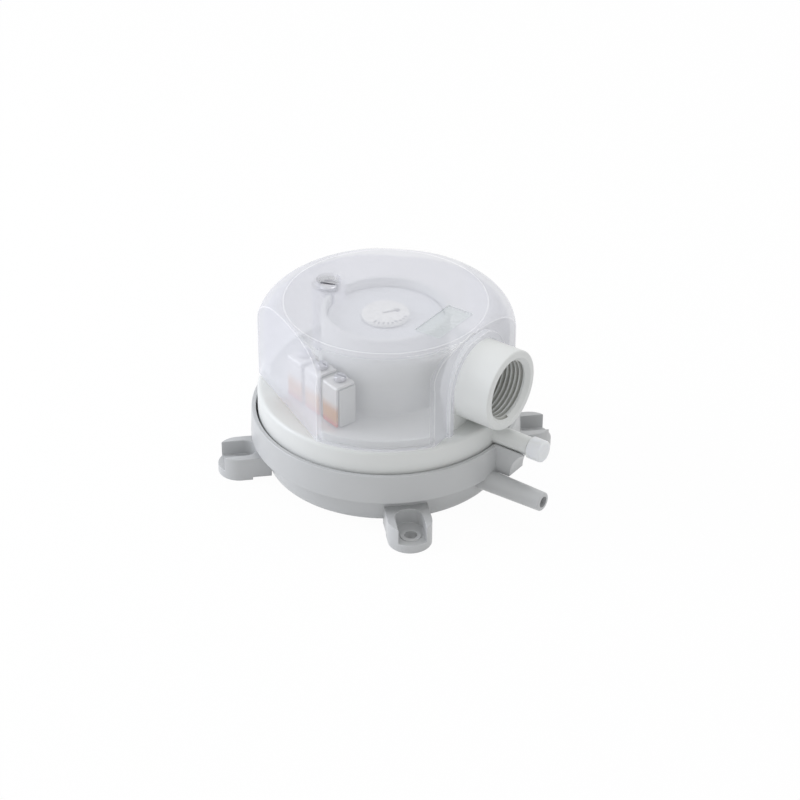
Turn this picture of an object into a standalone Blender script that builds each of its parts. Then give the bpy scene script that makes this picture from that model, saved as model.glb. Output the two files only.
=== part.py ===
"""Differential pressure switch: two housing mouldings, a clear cover and the mechanism between them.

The frame has its origin on the axis of the housing, in the mounting plane. +X points along the cable
inlet and the two pressure nozzles, and +Z points up through the cover.
"""
import math

import bmesh
import bpy
from mathutils import Matrix, Vector

mm = 0.001

# Clearances
fit_gap = 0.3 * mm
snap_gap = 0.4 * mm

# How far a cutter runs past the face it opens, and a helper sinks into the piece it joins
overcut = 1.0 * mm

# How large the empties on the joints' axes are drawn
pivot_size = 5.0 * mm

# Edges steeper than this stay sharp in the shading, in degrees
sharp_angle = 35.0

# Facets round the large and the small turned pieces
large_steps = 56
hidden_steps = 32
inlet_steps = 36
small_steps = 20
hole_steps = 16

# Snap switch beside the tower, with its lever and terminals, in a frame turned about Z
tower_radius = 20.0 * mm
pin_inset = 5.5 * mm
push_pin_offset = tower_radius - pin_inset
switch_angle = -16.0
lever_arm = 5.0 * mm
lever_rise = 4.0 * mm
lever_half_width = 3.0 * mm
arm_half_width = 2.9 * mm
lever_thickness = 1.2 * mm
lever_pin_radius = 0.6 * mm
hub_wall = 0.6 * mm
lever_hub_radius = lever_pin_radius + fit_gap + hub_wall
lever_tip_overrun = 2.0 * mm
lever_over_deck = 1.5 * mm
ear_thickness = 1.9 * mm
ear_half_depth = 1.5 * mm
ear_over_pin = 2.3 * mm
button_radius = 1.3 * mm
button_length = 3.2 * mm
button_edge = 0.3 * mm
button_reach = 1.0 * mm
switch_half_width = 12.8 * mm
switch_depth = 6.2 * mm
switch_height = 13.2 * mm
terminal_pitch = 9.0 * mm
terminal_half_width = 3.4 * mm
terminal_thickness = 0.8 * mm
terminal_foot = 0.4 * mm
terminal_screw_head_radius = 1.9 * mm
terminal_screw_head_height = 1.4 * mm
terminal_screw_radius = 1.0 * mm
terminal_screw_depth = 5.0 * mm
terminal_screw_slot = 0.6 * mm
terminal_screw_turn = 20.0
terminal_names = ("common", "open", "closed")
pivot_y = -(push_pin_offset + lever_arm)
arm_front = pivot_y - lever_thickness / 2
button_tip = arm_front - fit_gap
switch_back = button_tip - button_reach
switch_front = switch_back - switch_depth
terminal_back = switch_front - fit_gap
terminal_front = terminal_back - terminal_thickness

# Flats of the cover, the nearest of which clears the outer corner of the terminals
cover_wall = 1.9 * mm
flat_angles = (0.0, 118.0, -118.0)
terminal_room = 1.25 * mm
corner_angle = math.radians(switch_angle - 90.0 - flat_angles[2])
corner_reach = (-terminal_front * math.cos(corner_angle)
                + (terminal_pitch + terminal_half_width) * math.sin(corner_angle))
flat_inner = corner_reach + terminal_room
flat_distance = flat_inner + cover_wall

# Band of the upper housing, which sets the radii of both mouldings
flat_inset = 6.4 * mm
band_radius = flat_distance + flat_inset
band_edge = 1.3 * mm
band_gap = 0.6 * mm
band_over_ring = 7.4 * mm

# Lower housing: cup, ring and chamber
ring_draft = 0.4 * mm
ring_wall = 1.4 * mm
ring_bottom = 11.0 * mm
ring_height = 9.6 * mm
ring_edge = 0.4 * mm
ring_inner = band_radius + band_gap
ring_radius = ring_inner + ring_wall
ring_top = ring_bottom + ring_height
cup_inset = 2.3 * mm
cup_radius = ring_radius - cup_inset
cup_draft = 2.4 * mm
cup_bottom = 2.0 * mm
cup_edge = 0.8 * mm
cup_rim = 2.6 * mm
recess_depth = 2.2 * mm
floor_thickness = 2.0 * mm
floor_low = cup_bottom + recess_depth
floor_top = floor_low + floor_thickness
ledge_width = 4.8 * mm
ledge_below_top = 6.0 * mm
chamber_radius = ring_inner - ledge_width
ledge_height = ring_top - ledge_below_top
pad_radius = 6.0 * mm
stop_radius = 5.0 * mm
snap_depth = 0.75 * mm
snap_height = 1.4 * mm
snap_below_top = 0.8 * mm

# Fixing lugs
lug_reach = 4.5 * mm
lug_circle = ring_radius + lug_reach
lug_half_width = 6.8 * mm
lug_height = 7.8 * mm
lug_hole_radius = 2.0 * mm
lug_hole_offset = 1.4 * mm
lug_hole_circle = lug_circle + lug_hole_offset
lug_boss_width = 1.2 * mm
lug_boss_radius = lug_hole_radius + lug_boss_width
lug_boss_height = 0.4 * mm
lug_slot_half_width = 4.3 * mm
lug_slot_floor = 2.8 * mm
lug_slot_reach = 5.7 * mm
lug_slot_start = lug_circle - lug_slot_reach
foot_offset = 3.4 * mm
foot_start = lug_circle - foot_offset
foot_step = 1.0 * mm
lug_angles = (45.0, 135.0, 225.0, 315.0)

# Lower nozzle
nozzle_root_radius = 3.5 * mm
nozzle_tip_radius = 3.0 * mm
nozzle_bore_radius = 1.8 * mm
nozzle_chamfer = 0.4 * mm
lower_nozzle_y = -3.2 * mm
lower_nozzle_drop = 1.9 * mm
lower_nozzle_z = ring_bottom - lower_nozzle_drop
lower_nozzle_length = 19.3 * mm
lower_nozzle_tip = ring_radius + lower_nozzle_length

# Diaphragm
membrane_thickness = 0.7 * mm
membrane_lift = 0.65 * mm
bead_height = 2.0 * mm
bead_width = 3.0 * mm
roll_radius = 1.7 * mm
roll_inset = 7.6 * mm
roll_middle = ring_inner - roll_inset
bead_low = ledge_height + fit_gap
membrane_low = bead_low + membrane_lift
membrane_top = membrane_low + membrane_thickness
band_bottom = bead_low + bead_height + fit_gap

# Diaphragm plate and its push pin
plate_inset = 2.8 * mm
plate_radius = roll_middle - plate_inset
plate_thickness = 1.2 * mm
plate_rim_height = 1.6 * mm
plate_rim_width = 1.2 * mm
plate_spigot_radius = 5.3 * mm
plate_spigot_height = 2.4 * mm
plate_low = membrane_top + fit_gap
plate_top = plate_low + plate_thickness
push_pin_radius = 1.2 * mm
plate_edge = 0.3 * mm
plate_stroke = 0.8 * mm

# Upper housing: deck, and the lip that centres the cover
band_top = ring_top + band_over_ring
deck_thickness = 2.5 * mm
deck_low = band_top - deck_thickness
upper_chamber_wall = 4.8 * mm
upper_chamber_radius = band_radius - upper_chamber_wall
lip_height = 2.6 * mm
lip_wall = 1.6 * mm

# Cable inlet, threaded M20 x 1.5 in the finished part, which sets the height of the cover
inlet_bore_radius = 9.25 * mm
inlet_wall = 3.5 * mm
inlet_radius = inlet_bore_radius + inlet_wall
inlet_lift = 1.25 * mm
inlet_height = band_top + inlet_lift + inlet_radius
inlet_chamfer = 0.8 * mm
skirt_thickness = 2.4 * mm

# Cover
cover_over_inlet = 2.85 * mm
cover_top = inlet_height + inlet_radius + cover_over_inlet
cover_face_inset = 8.7 * mm
cover_face_radius = band_radius - cover_face_inset
shoulder_height = 9.1 * mm
cover_shoulder_start = cover_top - shoulder_height
shoulder_steps = 7
flat_bend_drop = 9.9 * mm
flat_bend_height = cover_top - flat_bend_drop
flat_lean = 0.10
slot_rib_width = 2.2 * mm
slot_rib_height = 1.1 * mm
label_inset = 12.0 * mm
label_length = 9.0 * mm
label_width = 18.0 * mm
label_depth = 0.5 * mm
label_x = flat_distance - label_inset
cover_inner_radius = band_radius - cover_wall
cover_inner_top = cover_top - cover_wall
inlet_overhang = 12.9 * mm
inlet_inside = 4.2 * mm
inlet_face = flat_distance + inlet_overhang
inlet_start = flat_distance - inlet_inside

# Tower and spring tube
tower_wall = 1.6 * mm
tower_headroom = 2.6 * mm
tower_top = cover_top - tower_headroom
tower_rim = 4.5 * mm
tower_lid_high = tower_top - tower_rim
tower_lid = 2.0 * mm
tower_lid_low = tower_lid_high - tower_lid
tube_wall = 1.6 * mm

# Upper nozzle with its spigot, the cap on it, and the web of the lower housing that carries it
upper_nozzle_y = 3.0 * mm
upper_nozzle_rise = 1.8 * mm
upper_nozzle_z = ring_top + upper_nozzle_rise
upper_nozzle_length = 14.4 * mm
upper_nozzle_tip = ring_radius + upper_nozzle_length
upper_nozzle_radius = 3.1 * mm
upper_nozzle_taper = 0.2 * mm
spigot_radius = 2.6 * mm
spigot_length = 4.2 * mm
spigot_start = upper_nozzle_tip - spigot_length
cap_wall = 0.6 * mm
cap_length = 4.8 * mm
web_half_width = 3.8 * mm
web_low_reach = 5.2 * mm
web_flare = 8.8 * mm
web_flare_height = 10.6 * mm
web_below_axis = 1.5 * mm
web_low = ring_bottom + ring_edge
web_high = upper_nozzle_z - web_below_axis
web_steps = 8

# Cover screw, its column in the cover and its channel in the tower
screw_shank_radius = 1.5 * mm
screw_head_radius = 3.1 * mm
screw_head_height = 2.2 * mm
screw_slot = 0.9 * mm
well_gap = 0.8 * mm
well_wall = 1.4 * mm
well_depth = 4.2 * mm
screw_well_radius = screw_head_radius + well_gap
screw_well_floor = cover_top - well_depth
column_radius = screw_well_radius + well_wall
channel_wall = 1.5 * mm
screw_offset = 2.0 * mm
screw_x = tower_radius + screw_offset
column_lift = 6.0 * mm
column_bottom = band_top + column_lift
screw_below_deck = 0.4 * mm
screw_end = band_top - screw_below_deck
post_radius = 4.6 * mm

# Setting knob, its shaft, clip and scale
scale_thickness = 1.0 * mm
scale_low = tower_lid_high + fit_gap
knob_radius = 7.4 * mm
knob_thickness = 1.2 * mm
knob_edge = 0.3 * mm
knob_low = scale_low + scale_thickness + fit_gap
shaft_radius = 2.5 * mm
groove_depth = 0.6 * mm
clip_thickness = 0.6 * mm
clip_radius = 4.2 * mm
clip_opening_half_width = 1.5 * mm
arrow_width = 1.0 * mm
arrow_length = 5.2 * mm
arrow_depth = 0.5 * mm
arrow_angle = -40.0

# Spring seat and range spring
seat_below_lid = 12.5 * mm
seat_low = tower_lid_low - seat_below_lid
seat_thickness = 4.0 * mm
seat_rise = 1.0 * mm
seat_drop = 2.0 * mm
key_half_width = 1.0 * mm
key_depth = 1.2 * mm
shaft_past_seat = 3.0 * mm
shaft_end = seat_low - shaft_past_seat
spring_wire_radius = 0.5 * mm
spring_turns = 8
spring_end_gap = 0.05 * mm
spring_points_per_turn = 10
spring_low = plate_top + fit_gap
spring_high = seat_low - fit_gap
spring_radius = plate_spigot_radius + fit_gap + spring_wire_radius
tube_gap = 1.6 * mm
tube_radius = spring_radius + spring_wire_radius + tube_gap

# Heights of the lever and the snap switch
arm_low = band_top + lever_over_deck
pivot_z = arm_low + lever_thickness / 2 + lever_hub_radius / 4
button_z = pivot_z + lever_rise
lever_top = button_z + lever_tip_overrun
pin_top = arm_low - fit_gap
switch_low = band_top + fit_gap
switch_high = switch_low + switch_height

# Window in the tower, behind the switch, for the lever and its two ears
ear_inner = lever_half_width + fit_gap
ear_outer = ear_inner + ear_thickness
window_side_gap = 1.5 * mm
window_over_lever = 2.5 * mm
window_behind_pin = 3.5 * mm
window_half_width = ear_outer + window_side_gap
window_top = lever_top + window_over_lever
window_start = push_pin_offset - window_behind_pin


def clear_scene():
    """Removes whatever the file holds, so that the model starts from nothing."""
    for thing in list(bpy.data.objects):
        bpy.data.objects.remove(thing, do_unlink=True)


def new_collection(name):
    """Adds a collection to the scene."""
    made = bpy.data.collections.new(name)
    bpy.context.scene.collection.children.link(made)
    return made


def make_material(name, colour, roughness, metallic=0.0, alpha=1.0):
    """Makes a Principled material from one colour and two surface values."""
    made = bpy.data.materials.new(name)
    made.use_nodes = True
    shader = made.node_tree.nodes["Principled BSDF"]
    shader.inputs["Base Color"].default_value = (*colour, 1.0)
    shader.inputs["Roughness"].default_value = roughness
    shader.inputs["Metallic"].default_value = metallic
    shader.inputs["Alpha"].default_value = alpha
    made.diffuse_color = (*colour, alpha)
    return made


def object_from_mesh(name, mesh, group):
    """Links a new object that shows the mesh."""
    made = bpy.data.objects.new(name, mesh)
    group.objects.link(made)
    return made


def settle(thing):
    """Turns an object's evaluated shape into its own plain mesh, welded and facing outwards."""
    bpy.context.view_layer.update()
    graph = bpy.context.evaluated_depsgraph_get()
    mesh = bpy.data.meshes.new_from_object(thing.evaluated_get(graph), depsgraph=graph)
    mesh.transform(thing.matrix_world)
    shape = bmesh.new()
    shape.from_mesh(mesh)
    bmesh.ops.remove_doubles(shape, verts=shape.verts, dist=0.002 * mm)
    bmesh.ops.recalc_face_normals(shape, faces=shape.faces)
    shape.to_mesh(mesh)
    shape.free()
    name = thing.name
    group = thing.users_collection[0]
    bpy.data.objects.remove(thing, do_unlink=True)
    mesh.name = name
    return object_from_mesh(name, mesh, group)


def turned(name, profile, group, steps=small_steps, closed=False):
    """Turns a profile of (radius, height) points about Z. It runs down its outer side."""
    mesh = bpy.data.meshes.new(name)
    edges = [(index, index + 1) for index in range(len(profile) - 1)]
    if closed:
        edges.append((len(profile) - 1, 0))
    mesh.from_pydata([(radius, 0.0, height) for radius, height in profile], edges, [])
    made = object_from_mesh(name, mesh, group)
    screw = made.modifiers.new("turn", "SCREW")
    screw.angle = 2.0 * math.pi
    screw.steps = steps
    screw.render_steps = steps
    screw.use_merge_vertices = True
    screw.merge_threshold = 0.001 * mm
    return settle(made)


def cylinder(name, radius, low, high, group, steps=small_steps):
    """A plain cylinder on the Z axis between two heights."""
    mesh = bpy.data.meshes.new(name)
    shape = bmesh.new()
    middle = Matrix.Translation((0.0, 0.0, (low + high) / 2))
    bmesh.ops.create_cone(shape, cap_ends=True, segments=steps, radius1=radius, radius2=radius,
                          depth=high - low, matrix=middle)
    shape.to_mesh(mesh)
    shape.free()
    return object_from_mesh(name, mesh, group)


def block(name, low, high, group):
    """A box between two corners."""
    mesh = bpy.data.meshes.new(name)
    shape = bmesh.new()
    size = Vector(high) - Vector(low)
    place = Matrix.Translation((Vector(high) + Vector(low)) / 2) @ Matrix.Diagonal((*size, 1.0))
    bmesh.ops.create_cube(shape, size=1.0, matrix=place)
    shape.to_mesh(mesh)
    shape.free()
    return object_from_mesh(name, mesh, group)


def extruded(name, outline, low, high, group):
    """A flat outline in XY, filled and extruded between two heights."""
    curve = bpy.data.curves.new(name, "CURVE")
    curve.dimensions = "2D"
    curve.fill_mode = "BOTH"
    curve.extrude = (high - low) / 2
    spline = curve.splines.new("POLY")
    spline.points.add(len(outline) - 1)
    for point, (x, y) in zip(spline.points, outline):
        point.co = (x, y, 0.0, 1.0)
    spline.use_cyclic_u = True
    made = bpy.data.objects.new(name, curve)
    group.objects.link(made)
    made.location.z = (low + high) / 2
    return settle(made)


def moved(thing, matrix):
    """Places a helper by moving its mesh."""
    thing.data.transform(matrix)
    return thing


def about_z(degrees):
    """A turn about the housing's axis."""
    return Matrix.Rotation(math.radians(degrees), 4, "Z")


def along_x(x=0.0, y=0.0, z=0.0):
    """Lays a piece built on Z along +X, and moves it to its place."""
    return Matrix.Translation((x, y, z)) @ Matrix.Rotation(math.radians(90.0), 4, "Y")


def upright_along_y(y=0.0):
    """Stands an outline drawn in XY up in the XZ plane, so that its thickness runs along Y."""
    return Matrix.Translation((0.0, y, 0.0)) @ Matrix.Rotation(math.radians(90.0), 4, "X")


def facing_x():
    """Stands an outline drawn as (y, z) up in the YZ plane, so that its thickness runs along X."""
    return Matrix.Rotation(math.radians(90.0), 4, "Z") @ Matrix.Rotation(math.radians(90.0), 4, "X")


def arc(centre_x, centre_y, radius, start, end, count):
    """Points on an arc, between two angles in degrees."""
    points = []
    for index in range(count + 1):
        angle = math.radians(start + (end - start) * index / count)
        points.append((centre_x + radius * math.cos(angle), centre_y + radius * math.sin(angle)))
    return points


def combine(target, helper, operation):
    """Adds or cuts a helper by a Boolean, and keeps the helper as a hidden guide."""
    boolean = target.modifiers.new(helper.name, "BOOLEAN")
    boolean.operation = operation
    boolean.solver = "EXACT"
    boolean.object = helper
    helper.hide_render = True
    helper.display_type = "WIRE"


def cut(target, helper):
    """Cuts a helper out of the target."""
    combine(target, helper, "DIFFERENCE")


def fuse(target, helper):
    """Joins a helper to the target."""
    combine(target, helper, "UNION")


def joined(name, things, group):
    """Puts the meshes of several helpers into one."""
    shape = bmesh.new()
    for thing in things:
        shape.from_mesh(thing.data)
        bpy.data.objects.remove(thing, do_unlink=True)
    mesh = bpy.data.meshes.new(name)
    shape.to_mesh(mesh)
    shape.free()
    return object_from_mesh(name, mesh, group)


def finish(thing, material):
    """Gives a piece its material and its smooth shading, with sharp edges kept."""
    thing.data.materials.clear()
    thing.data.materials.append(material)
    thing.data.shade_smooth()
    thing.data.set_sharp_from_angle(angle=math.radians(sharp_angle))
    return thing


def pivot(name, place, group, turn):
    """An empty on a joint's axis."""
    empty = bpy.data.objects.new(name, None)
    empty.location = place
    empty.rotation_euler.z = math.radians(turn)
    empty.empty_display_size = pivot_size
    group.objects.link(empty)
    return empty


def carry(thing, empty):
    """Hangs a settled piece, whose mesh holds world places, on an empty."""
    bpy.context.view_layer.update()
    thing.data.transform(empty.matrix_world.inverted())
    thing.parent = empty
    return thing


def one_lug(cutters):
    """A fixing lug along +X: a round-ended pad with an open slot and a raised ring round its hole."""
    outline = [(chamber_radius + cup_rim / 2, -lug_half_width)]
    outline += arc(lug_circle, 0.0, lug_half_width, -90.0, 90.0, 10)
    outline.append((chamber_radius + cup_rim / 2, lug_half_width))
    lug = extruded("lug", outline, 0.0, lug_height, cutters)
    far = lug_circle + 2 * lug_half_width
    top = lug_height + overcut
    slot_outline = [(far, -lug_slot_half_width), (far, lug_slot_half_width)]
    slot_outline += arc(lug_slot_start + lug_slot_half_width, 0.0, lug_slot_half_width, 90.0, 270.0, 8)
    cut(lug, extruded("lug_slot", slot_outline, lug_slot_floor, top, cutters))
    ring = cylinder("lug_ring", lug_boss_radius, foot_step, lug_slot_floor + lug_boss_height, cutters)
    fuse(lug, moved(ring, Matrix.Translation((lug_hole_circle, 0.0, 0.0))))
    hole = cylinder("lug_hole", lug_hole_radius, -overcut, top, cutters)
    cut(lug, moved(hole, Matrix.Translation((lug_hole_circle, 0.0, 0.0))))
    relief = block("lug_relief", (0.0, -lug_height, -overcut), (foot_start, lug_height, foot_step), cutters)
    cut(lug, relief)
    return settle(lug)


def nozzle(name, root, tip, root_radius, tip_radius, group):
    """A tapered hose nozzle along +X, with a chamfered end."""
    profile = [(0.0, tip), (tip_radius - nozzle_chamfer, tip), (tip_radius, tip - nozzle_chamfer),
               (root_radius, root), (0.0, root)]
    return turned(name, profile, group)


def make_lower_housing(parts, cutters, material):
    """Cup, ring, chamber, four lugs, lower nozzle and web, all in one moulding."""
    snap_middle = ring_top - snap_below_top - snap_height / 2
    profile = [
        (0.0, membrane_low - fit_gap),
        (stop_radius, membrane_low - fit_gap),
        (stop_radius, floor_top),
        (chamber_radius, floor_top),
        (chamber_radius, ledge_height),
        (ring_inner, ledge_height),
        (ring_inner, snap_middle - snap_height / 2),
        (ring_inner - snap_depth, snap_middle),
        (ring_inner, snap_middle + snap_height / 2),
        (ring_inner, ring_top),
        (ring_radius - ring_edge, ring_top),
        (ring_radius, ring_top - ring_edge),
        (ring_radius + ring_draft, ring_bottom),
        (cup_radius, ring_bottom),
        (cup_radius - cup_draft + cup_edge, cup_bottom + 2 * cup_edge),
        (cup_radius - cup_draft, cup_bottom),
        (cup_radius - cup_draft - cup_rim, cup_bottom),
        (cup_radius - cup_draft - cup_rim, floor_low),
        (pad_radius, floor_low),
        (pad_radius, 0.0),
        (0.0, 0.0),
    ]
    housing = turned("lower_housing", profile, parts, large_steps)

    lug = one_lug(cutters)
    lugs = []
    for angle in lug_angles:
        copy = object_from_mesh("lug_copy", lug.data.copy(), cutters)
        lugs.append(moved(copy, about_z(angle)))
    bpy.data.objects.remove(lug, do_unlink=True)
    fuse(housing, joined("lugs", lugs, cutters))

    root = chamber_radius + overcut
    tube = nozzle("lower_nozzle", root, lower_nozzle_tip, nozzle_root_radius, nozzle_tip_radius, cutters)
    moved(tube, along_x(y=lower_nozzle_y, z=lower_nozzle_z))

    inside = ring_radius - ring_wall / 2
    outline = [(inside, web_high), (inside, web_low)]
    for index in range(web_steps + 1):
        rise = (web_high - web_low) * index / web_steps
        share = rise / web_flare_height
        flare = web_flare * (1.0 - math.sqrt(1.0 - share * share))
        outline.append((ring_radius + web_low_reach + flare, web_low + rise))
    web = extruded("web", outline, -upper_nozzle_y - web_half_width, -upper_nozzle_y + web_half_width, cutters)
    fuse(housing, moved(web, upright_along_y()))
    fuse(housing, tube)

    bore = cylinder("lower_bore", nozzle_bore_radius, chamber_radius - 2 * overcut, lower_nozzle_tip + overcut,
                    cutters, hole_steps)
    cut(housing, moved(bore, along_x(y=lower_nozzle_y, z=lower_nozzle_z)))
    notch = cylinder("nozzle_notch", upper_nozzle_radius + fit_gap, ring_inner - 2 * overcut, lower_nozzle_tip,
                     cutters)
    cut(housing, moved(notch, along_x(y=upper_nozzle_y, z=upper_nozzle_z)))
    return finish(settle(housing), material)


def make_diaphragm(parts, material):
    """Soft membrane with a clamped bead and a rolling fold near its edge."""
    outer = ring_inner - fit_gap
    inner = outer - bead_width
    half = membrane_thickness / 2
    middle = membrane_low + half
    upper = [(roll_middle - (roll_radius - half) * math.cos(math.radians(a)),
              middle + half - (roll_radius - half) * math.sin(math.radians(a))) for a in range(0, 181, 45)]
    lower = [(roll_middle + (roll_radius + half) * math.cos(math.radians(a)),
              middle - half - (roll_radius + half) * math.sin(math.radians(a))) for a in range(0, 181, 45)]
    profile = [(0.0, middle + half)] + upper
    profile += [(inner, middle + half), (inner, bead_low + bead_height), (outer, bead_low + bead_height)]
    profile += [(outer, bead_low), (inner, bead_low), (inner, middle - half)] + lower + [(0.0, middle - half)]
    return finish(turned("diaphragm", profile, parts, hidden_steps), material)


def make_diaphragm_plate(parts, cutters, material):
    """Stiff plate with a raised rim, the spring's spigot and the push pin."""
    profile = [
        (0.0, plate_top + plate_spigot_height),
        (plate_spigot_radius - plate_edge, plate_top + plate_spigot_height),
        (plate_spigot_radius, plate_top + plate_spigot_height - plate_edge),
        (plate_spigot_radius, plate_top),
        (plate_radius - plate_rim_width, plate_top),
        (plate_radius - plate_rim_width, plate_top + plate_rim_height),
        (plate_radius, plate_top + plate_rim_height),
        (plate_radius, plate_low),
        (0.0, plate_low),
    ]
    plate = turned("diaphragm_plate", profile, parts, hidden_steps)
    pin = cylinder("push_pin", push_pin_radius, plate_top - plate_thickness / 2, pin_top, cutters, hole_steps)
    moved(pin, about_z(switch_angle) @ Matrix.Translation((0.0, -push_pin_offset, 0.0)))
    fuse(plate, pin)
    return finish(settle(plate), material)


def flat_cutter(name, distance, low, angle, cutters):
    """What lies outside one flat of the cover: upright below the bend, leaning in above it."""
    high = cover_top + overcut
    lean = flat_lean * (high - flat_bend_height)
    far = 2 * band_radius
    outline = [(distance, low), (far, low), (far, high), (distance - lean, high), (distance, flat_bend_height)]
    cutter = extruded(name, outline, -band_radius, band_radius, cutters)
    moved(cutter, upright_along_y())
    return moved(cutter, about_z(angle))


def make_upper_housing(parts, cutters, material):
    """Band, deck, tower, spring tube, cable inlet and upper nozzle, all in one moulding."""
    snap_middle = ring_top - snap_below_top - snap_height / 2
    groove_radius = ring_inner - snap_depth - snap_gap
    groove_half = snap_height / 2 + snap_gap / 2
    lip_radius = cover_inner_radius - snap_gap
    band = [
        (tube_radius, tower_lid_low),
        (shaft_radius + fit_gap, tower_lid_low),
        (shaft_radius + fit_gap, tower_lid_high),
        (tower_radius - tower_wall, tower_lid_high),
        (tower_radius - tower_wall, tower_top),
        (tower_radius, tower_top),
        (tower_radius, band_top),
        (lip_radius - lip_wall, band_top),
        (lip_radius - lip_wall, band_top + lip_height),
        (lip_radius, band_top + lip_height),
        (lip_radius, band_top),
        (band_radius - band_edge, band_top),
        (band_radius - band_edge / 3, band_top - band_edge / 3),
        (band_radius, band_top - band_edge),
        (band_radius, snap_middle + groove_half),
        (groove_radius, snap_middle + snap_gap / 2),
        (groove_radius, snap_middle - snap_gap / 2),
        (band_radius, snap_middle - groove_half),
        (band_radius, band_bottom),
        (upper_chamber_radius, band_bottom),
        (upper_chamber_radius, deck_low),
        (tube_radius, deck_low),
    ]
    housing = turned("upper_housing", band, parts, large_steps, closed=True)

    for index, angle in enumerate(flat_angles):
        cut(housing, flat_cutter(f"lip_flat_{index}", flat_inner - snap_gap, band_top, angle, cutters))

    cavity = [
        (tube_radius + tube_wall, tower_lid_low), (tower_radius - tower_wall, tower_lid_low),
        (tower_radius - tower_wall, band_top), (tube_radius + tube_wall, band_top),
    ]
    hollow = turned("tower_cavity", cavity, cutters, hidden_steps, closed=True)
    place = Matrix.Translation((-screw_x, 0.0, 0.0))
    channel_radius = column_radius + snap_gap
    keep = cylinder("channel_keep", channel_radius + channel_wall, band_top - overcut, tower_top + overcut,
                    cutters)
    cut(hollow, moved(keep, place))
    cut(housing, settle(hollow))
    channel = cylinder("column_channel", channel_radius, band_top, tower_top + overcut, cutters)
    cut(housing, moved(channel, place))
    post = cylinder("screw_post", post_radius, band_top - overcut, column_bottom - fit_gap, cutters)
    fuse(housing, moved(post, place))
    screw_hole = cylinder("screw_hole", screw_shank_radius + fit_gap, screw_end - overcut,
                          column_bottom + overcut, cutters, hole_steps)
    cut(housing, moved(screw_hole, place))

    window = block("switch_window", (-window_half_width, -band_radius, band_top),
                   (window_half_width, -window_start, window_top), cutters)
    moved(window, about_z(switch_angle))
    trimmed = cylinder("window_reach", tower_radius + overcut, band_top - overcut, cover_top, cutters,
                       large_steps)
    combine(window, trimmed, "INTERSECT")
    cut(housing, settle(window))

    for start in (ear_inner, -ear_outer):
        ear = block("lever_ear", (start, pivot_y - ear_half_depth, band_top - overcut),
                    (start + ear_thickness, pivot_y + ear_half_depth, pivot_z + ear_over_pin), cutters)
        fuse(housing, moved(ear, about_z(switch_angle)))
    pin_hole = cylinder("lever_pin_hole", lever_pin_radius + fit_gap, -2 * lever_half_width,
                        2 * lever_half_width, cutters, hole_steps)
    cut(housing, moved(pin_hole, about_z(switch_angle) @ along_x(y=pivot_y, z=pivot_z)))
    push_hole = cylinder("push_hole", push_pin_radius + snap_gap, deck_low - overcut, band_top + overcut,
                         cutters, hole_steps)
    cut(housing, moved(push_hole, about_z(switch_angle) @ Matrix.Translation((0.0, -push_pin_offset, 0.0))))

    slot_reach = tube_radius + 2 * tube_wall
    slot_half = key_half_width + fit_gap
    key_slot = block("key_slot", (-slot_reach, -slot_half, seat_low - seat_drop - overcut),
                     (slot_reach, slot_half, seat_low + seat_thickness + seat_rise + overcut), cutters)
    cut(housing, moved(key_slot, about_z(90.0)))

    inlet = [(0.0, inlet_face), (inlet_radius - inlet_chamfer / 2, inlet_face),
             (inlet_radius, inlet_face - inlet_chamfer / 2), (inlet_radius, inlet_start), (0.0, inlet_start)]
    fuse(housing, moved(turned("inlet", inlet, cutters, inlet_steps), along_x(z=inlet_height)))
    skirt_start = flat_inner - fit_gap - skirt_thickness / 4
    skirt = block("inlet_skirt", (skirt_start, -inlet_radius, band_top - overcut),
                  (skirt_start + skirt_thickness, inlet_radius, inlet_height), cutters)
    fuse(housing, skirt)
    bore = [(0.0, inlet_face + overcut), (inlet_bore_radius + inlet_chamfer + overcut, inlet_face + overcut),
            (inlet_bore_radius, inlet_face - inlet_chamfer), (inlet_bore_radius, inlet_start - overcut),
            (0.0, inlet_start - overcut)]
    cut(housing, moved(turned("inlet_bore", bore, cutters, inlet_steps), along_x(z=inlet_height)))

    root = upper_chamber_radius + overcut
    stepped = [(0.0, upper_nozzle_tip), (spigot_radius - nozzle_chamfer, upper_nozzle_tip),
               (spigot_radius, upper_nozzle_tip - nozzle_chamfer), (spigot_radius, spigot_start),
               (upper_nozzle_radius - upper_nozzle_taper, spigot_start), (upper_nozzle_radius, root),
               (0.0, root)]
    tube = turned("upper_nozzle", stepped, cutters)
    fuse(housing, moved(tube, along_x(y=upper_nozzle_y, z=upper_nozzle_z)))
    nozzle_bore = cylinder("upper_bore", nozzle_bore_radius, upper_chamber_radius - 2 * overcut,
                           upper_nozzle_tip + overcut, cutters, hole_steps)
    cut(housing, moved(nozzle_bore, along_x(y=upper_nozzle_y, z=upper_nozzle_z)))
    return finish(settle(housing), material)


def dome_profile(radius, top, face_radius, bottom):
    """Half section of the dome: flat face, rounded shoulder, upright wall."""
    profile = [(0.0, top)]
    width = radius - face_radius
    height = top - cover_shoulder_start
    for index in range(shoulder_steps + 1):
        angle = math.radians(90.0 * (1 - index / shoulder_steps))
        profile.append((face_radius + width * math.cos(angle), cover_shoulder_start + height * math.sin(angle)))
    profile += [(radius, bottom), (0.0, bottom)]
    return profile


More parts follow.
